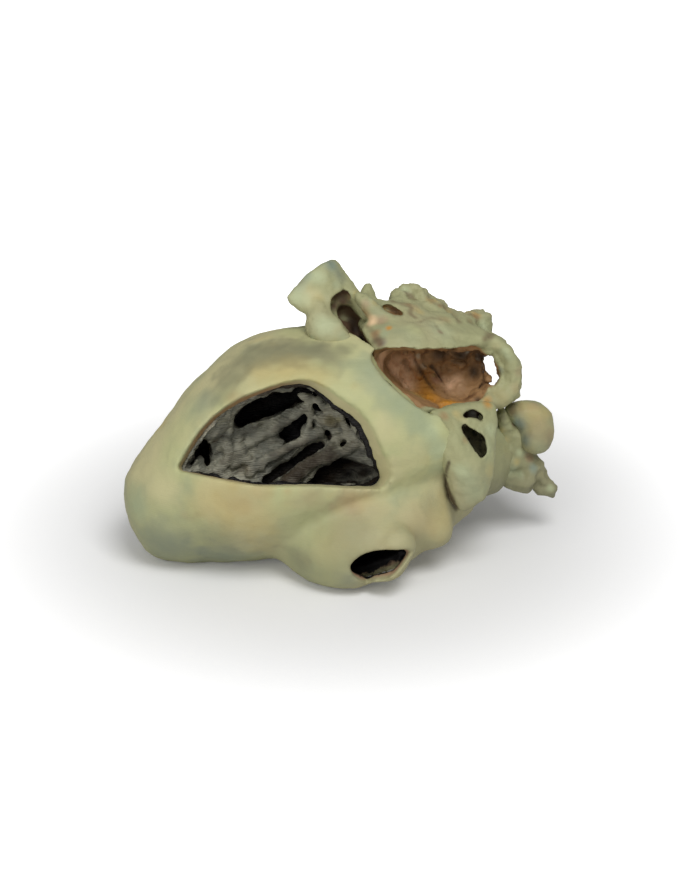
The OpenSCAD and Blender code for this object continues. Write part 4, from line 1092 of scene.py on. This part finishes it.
class Paint:
    """A procedural material in the making."""

    def __init__(self, name):
        self.material = bpy.data.materials.new(name)
        self.material.use_nodes = True
        self.tree = self.material.node_tree
        self.shader = self.tree.nodes["Principled BSDF"]
        spot = self.node("ShaderNodeTexCoord", {})
        self.place = Field(self, spot.outputs["Object"])
        axes = self.node("ShaderNodeSeparateXYZ", {}, Vector=self.place)
        self.z = Field(self, axes.outputs["Z"]) * (1 / MM)

    def node(self, kind, settings, **values):
        """Adds a node, sets what it is set to, then its sockets' values and links."""
        node = self.tree.nodes.new(kind)
        for key, value in settings.items():
            setattr(node, key, value)
        for key, value in values.items():
            socket = node.inputs[int(key)] if key.isdigit() else node.inputs[key]
            if isinstance(value, Field):
                self.tree.links.new(value.socket, socket)
            else:
                socket.default_value = value
        return node

    def noise(self, width, detail=3.0, stretch=None):
        """Soft noise of a width in millimetres, about 0 to 1."""
        place = self.place
        if stretch:
            mapped = self.node("ShaderNodeMapping", {}, Vector=place, Scale=stretch)
            place = Field(self, mapped.outputs[0])
        node = self.node("ShaderNodeTexNoise", {}, Vector=place, Scale=1 / (width * MM), Detail=detail,
                         Roughness=0.55)
        return Field(self, node.outputs["Fac"])

    def value(self, name):
        """An attribute of the piece."""
        node = self.node("ShaderNodeAttribute", {"attribute_name": name})
        return Field(self, node.outputs["Fac"])

    def mix(self, factor, a, b):
        """Colour a where the factor is 0, b where it is 1."""
        node = self.node("ShaderNodeMix", {"data_type": "RGBA"}, **{"0": factor, "6": a, "7": b})
        return Field(self, node.outputs[2])

    def near(self, centre, radius):
        """1 close to a place, 0 beyond the radius."""
        node = self.node("ShaderNodeVectorMath", {"operation": "DISTANCE"},
                         **{"0": self.place, "1": centre * MM})
        return 1 - Field(self, node.outputs["Value"]).rise(radius * MM * 0.35, radius * MM)

    def finish(self, colour, roughness, bumps, bump_height):
        """Joins colour, roughness and relief to the shader."""
        links = self.tree.links
        links.new(colour.socket, self.shader.inputs["Base Color"])
        links.new(roughness.socket, self.shader.inputs["Roughness"])
        bump = self.node("ShaderNodeBump", {}, Height=bumps, Strength=1.0, Distance=bump_height * MM)
        links.new(bump.outputs[0], self.shader.inputs["Normal"])
        self.shader.inputs["Specular IOR Level"].default_value = 0.25
        return self.material


# How close the printed layers lie, as the scale of the wave that draws them.
LAYER_WAVES = 500.0


def layers(paint):
    """Fine lines of the printed layers, level with the table."""
    wave = paint.node("ShaderNodeTexWave", {"wave_type": "BANDS", "bands_direction": "Z"},
                      **{"Vector": paint.place, "Scale": LAYER_WAVES, "Distortion": 1.2, "Detail": 2.0,
                         "Detail Scale": 0.6})
    return Field(paint, wave.outputs["Fac"])


def skin(paint, dull=0.0):
    """Mottled skin of the outside: celery and cream with straw and sage patches, and painted shade that
    turns it olive low down.
    """
    broad = paint.noise(38, 2)
    patches = paint.noise(17, 3)
    fine = paint.noise(3.5, 3)
    colour = paint.mix(broad.rise(0.4, 0.62), CELERY, CREAM)
    colour = paint.mix(patches.rise(0.55, 0.72) * 0.5, colour, STRAW)
    colour = paint.mix((1 - patches).rise(0.56, 0.72) * 0.5, colour, SAGE)
    colour = paint.mix(fine.rise(0.5, 0.8) * 0.16, colour, SAGE)
    streaks = paint.noise(2.2, 3, stretch=(0.25, 0.25, 2.4))
    colour = paint.mix(streaks.rise(0.5, 0.75) * 0.16, colour, CREAM)
    colour = paint.mix(layers(paint) * 0.04, colour, SAGE)
    # Painted shade: olive darkening towards the bottom, where the undersides face away from the light; dull
    # adds the same olive all over.
    return paint.mix((1 - paint.z.rise(6, 42)) * 0.55 + dull, colour, OLIVE)


def daub(paint, colour):
    """Lays the piece's own soft patches over a colour."""
    node = paint.node("ShaderNodeAttribute", {"attribute_name": "daub"})
    return paint.mix(Field(paint, node.outputs["Alpha"]), colour, Field(paint, node.outputs["Color"]))


def relief(paint, coarse):
    """The skin's fine relief: printed layers, pores and soft dents."""
    return layers(paint) * 0.06 + paint.noise(1.0) * 0.35 + paint.noise(3.5) * coarse


def wall_paint():
    """The ventricles' skin, with pale rims at the windows, grey insides turning umber low down as painted
    shade, and black painted shade deep in hollows.
    """
    paint = Paint("ventricle_skin")
    shade_cover = paint.value("hollow_shade")
    under = paint.value("under") + (paint.noise(2.0) - 0.5) * 0.9
    low = 1 - paint.z.rise(14, 22)
    rim = paint.mix(paint.near(seen(232, 412, -14), 30) * 0.9, CREAM, TAN)
    rim = paint.mix(low * 0.8, rim, PINK)
    colour = paint.mix(under.rise(0.9, 2.4), daub(paint, skin(paint)), rim)
    # Inside faces are grey, turning umber low down as painted shade of the right chamber's hollow.
    inside = paint.mix(low, paint.mix(paint.noise(2.5).rise(0.35, 0.6), GREY, PALE_GREY), UMBER)
    colour = paint.mix((under + low * 3.2).rise(6.2, 7.4), colour, inside)
    # Painted shade: black deep in hollows, reached a little sooner low down.
    black_shade = shade_cover + low * 0.14 + (paint.noise(2) - 0.5) * 0.2
    colour = paint.mix(black_shade.rise(0.76, 0.94), colour, BLACK)
    return paint.finish(colour, 0.5 + paint.noise(5) * 0.2, relief(paint, 0.5), 0.2)


def muscle_paint():
    """The grey muscle of the open chamber, with umber and black painted shade deepening into its pockets."""
    paint = Paint("chamber_muscle")
    shade_cover = paint.value("hollow_shade")
    sheets = paint.noise(7, 3)
    fine = paint.noise(1.8, 4, stretch=(0.5, 0.5, 2.6))
    lines = layers(paint)
    colour = paint.mix(sheets.rise(0.42, 0.62), GREY, PALE_GREY)
    colour = paint.mix(fine.rise(0.48, 0.7) * 0.55, colour, UMBER)
    colour = paint.mix(lines * 0.3, colour, SLATE)
    colour = daub(paint, colour)
    # Painted shade: umber, then black, the deeper a point lies under the muscle's front, and black deep in
    # hollows.
    deep = paint.value("under") + (paint.noise(2.5) - 0.5) * 1.6
    colour = paint.mix(deep.rise(1.4, 5) * 0.9, colour, UMBER)
    colour = paint.mix(deep.rise(3.5, 8), colour, BLACK)
    colour = paint.mix((shade_cover + (fine - 0.5) * 0.2).rise(0.86, 1.05), colour, BLACK)
    bumps = lines * 0.3 + fine * 0.9 + paint.noise(3) * 0.8
    return paint.finish(colour, 0.42 + fine * 0.3, bumps, 0.35)


def tissue_paint(name, deep_colour, first, last):
    """A skin whose cut faces and insides turn to another colour, with black painted shade deep in hollows.
    """
    paint = Paint(name)
    shade_cover = paint.value("hollow_shade")
    under = paint.value("under") + (paint.noise(2.2) - 0.5) * 0.7
    inside = under.rise(first, last)
    colour = daub(paint, paint.mix(inside, skin(paint, 0.45), deep_colour))
    stain = paint.noise(3.2, 4)
    colour = paint.mix(inside * stain.rise(0.5, 0.72) * 0.35, colour, RUST)
    # Painted shade: black deep in hollows.
    colour = paint.mix((shade_cover + (stain - 0.5) * 0.25).rise(0.92, 1.06), colour, BLACK)
    return paint.finish(colour, 0.42 + paint.noise(4) * 0.3, relief(paint, 0.7), 0.25)


PAINTS = {
    "outer_muscle": wall_paint(),
    "chamber_muscle": muscle_paint(),
    "atrial_wall": tissue_paint("atrial_tissue", TAN, 0.8, 2.0),
    "vessel_wall": tissue_paint("vessel_skin", UMBER, 0.7, 1.6),
    "auricle_tissue": tissue_paint("auricle_skin", BROWN, 0.8, 2.0),
}


def inner_paint(name, light, dark):
    """Matt tissue of the parts inside, kept from the solids."""
    paint = Paint(name)
    colour = paint.mix(paint.noise(4, 3).rise(0.4, 0.65), dark, light)
    colour = paint.mix(layers(paint) * 0.3, colour, dark)
    return paint.finish(colour, 0.5 + paint.noise(3) * 0.25, relief(paint, 0.6), 0.2)


# The nodes that keep their own solids, by finish.
SHOWN_NODES = [
    (inner_paint("leaflet", PALE_GREY, GREY),
     ["mitral_valve", "tricuspid_valve", "aortic_valve", "pulmonary_valve"]),
    (inner_paint("right_chamber_cord", GREY, UMBER),
     ["moderator_band", "right_papillary_muscles", "right_chordae"]),
    (inner_paint("artery", CREAM, CELERY), ["coronary_arteries"]),
]
for finish, names in SHOWN_NODES:
    for name in names:
        node = frame["nodes"][name]
        node.data.materials.clear()
        node.data.materials.append(finish)

for piece, nodes, slot in PIECES:
    piece.data.transform(Matrix.Scale(MM, 4))
    piece.data.materials.clear()
    piece.data.materials.append(PAINTS[slot])
    for polygon in piece.data.polygons:
        polygon.use_smooth = True
    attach(piece, "root")
    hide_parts(*nodes)


def floor():
    """A plain white table that keeps the object's shadow and fades to white away from it: its camera-only
    glow is weak near the object, a painted shadow round it.
    """
    part = bmesh.new()
    bmesh.ops.create_grid(part, x_segments=1, y_segments=1, size=4)
    shell = bpy.data.meshes.new("floor")
    part.to_mesh(shell)
    part.free()
    table = bpy.data.objects.new("floor", shell)
    bpy.context.scene.collection.objects.link(table)
    paint = Paint("white_table")
    paint.shader.inputs["Base Color"].default_value = (0.8, 0.8, 0.8, 1)
    paint.shader.inputs["Roughness"].default_value = 0.9
    paint.shader.inputs["Emission Color"].default_value = (1, 1, 1, 1)
    ray = paint.node("ShaderNodeLightPath", {})
    away = paint.node("ShaderNodeVectorMath", {"operation": "LENGTH"}, **{"0": paint.place})
    # Painted shadow: the glow is weak near the object and rises to full white away from it.
    glow_past_shade = Field(paint, away.outputs["Value"]).rise(0.05, 0.2) * 0.9 + 0.06
    glow = Field(paint, ray.outputs["Is Camera Ray"]) * glow_past_shade
    paint.tree.links.new(glow.socket, paint.shader.inputs["Emission Strength"])
    shell.materials.append(paint.material)


# The sky's strength as a light, and as the camera sees it.
SKY_LIGHT = 0.3
SKY_SEEN = 1.0


def world():
    """A soft even sky that looks white to the camera."""
    sky = bpy.data.worlds.new("studio")
    bpy.context.scene.world = sky
    sky.use_nodes = True
    tree = sky.node_tree
    ray = tree.nodes.new("ShaderNodeLightPath")
    pick = tree.nodes.new("ShaderNodeMix")
    pick.inputs["A"].default_value = SKY_LIGHT
    pick.inputs["B"].default_value = SKY_SEEN
    tree.links.new(ray.outputs["Is Camera Ray"], pick.inputs[0])
    back = tree.nodes["Background"]
    back.inputs["Color"].default_value = (1, 1, 1, 1)
    tree.links.new(pick.outputs[0], back.inputs["Strength"])


def lamp(name, place, size, power):
    """A soft area lamp that faces the object."""
    data = bpy.data.lights.new(name, "AREA")
    data.size = size
    data.energy = power
    light = bpy.data.objects.new(name, data)
    bpy.context.scene.collection.objects.link(light)
    light.location = place
    light.rotation_euler = (TARGET * MM - Vector(place)).to_track_quat("-Z", "Y").to_euler()


def camera():
    """The photograph's camera."""
    data = bpy.data.cameras.new("camera")
    data.sensor_width = SENSOR
    data.lens = FOCAL_PX * SENSOR / PHOTO_H
    data.clip_start = 0.01
    view = bpy.data.objects.new("camera", data)
    bpy.context.scene.collection.objects.link(view)
    view.location = EYE * MM
    view.rotation_euler = FORWARD.to_track_quat("-Z", "Y").to_euler()
    bpy.context.scene.camera = view


floor()
world()
lamp("key", (0.25, -0.6, 1.1), size=0.6, power=9)
lamp("fill", (-0.6, -1.0, 0.5), size=0.9, power=5.5)
camera()
bpy.context.scene.view_settings.view_transform = "Standard"
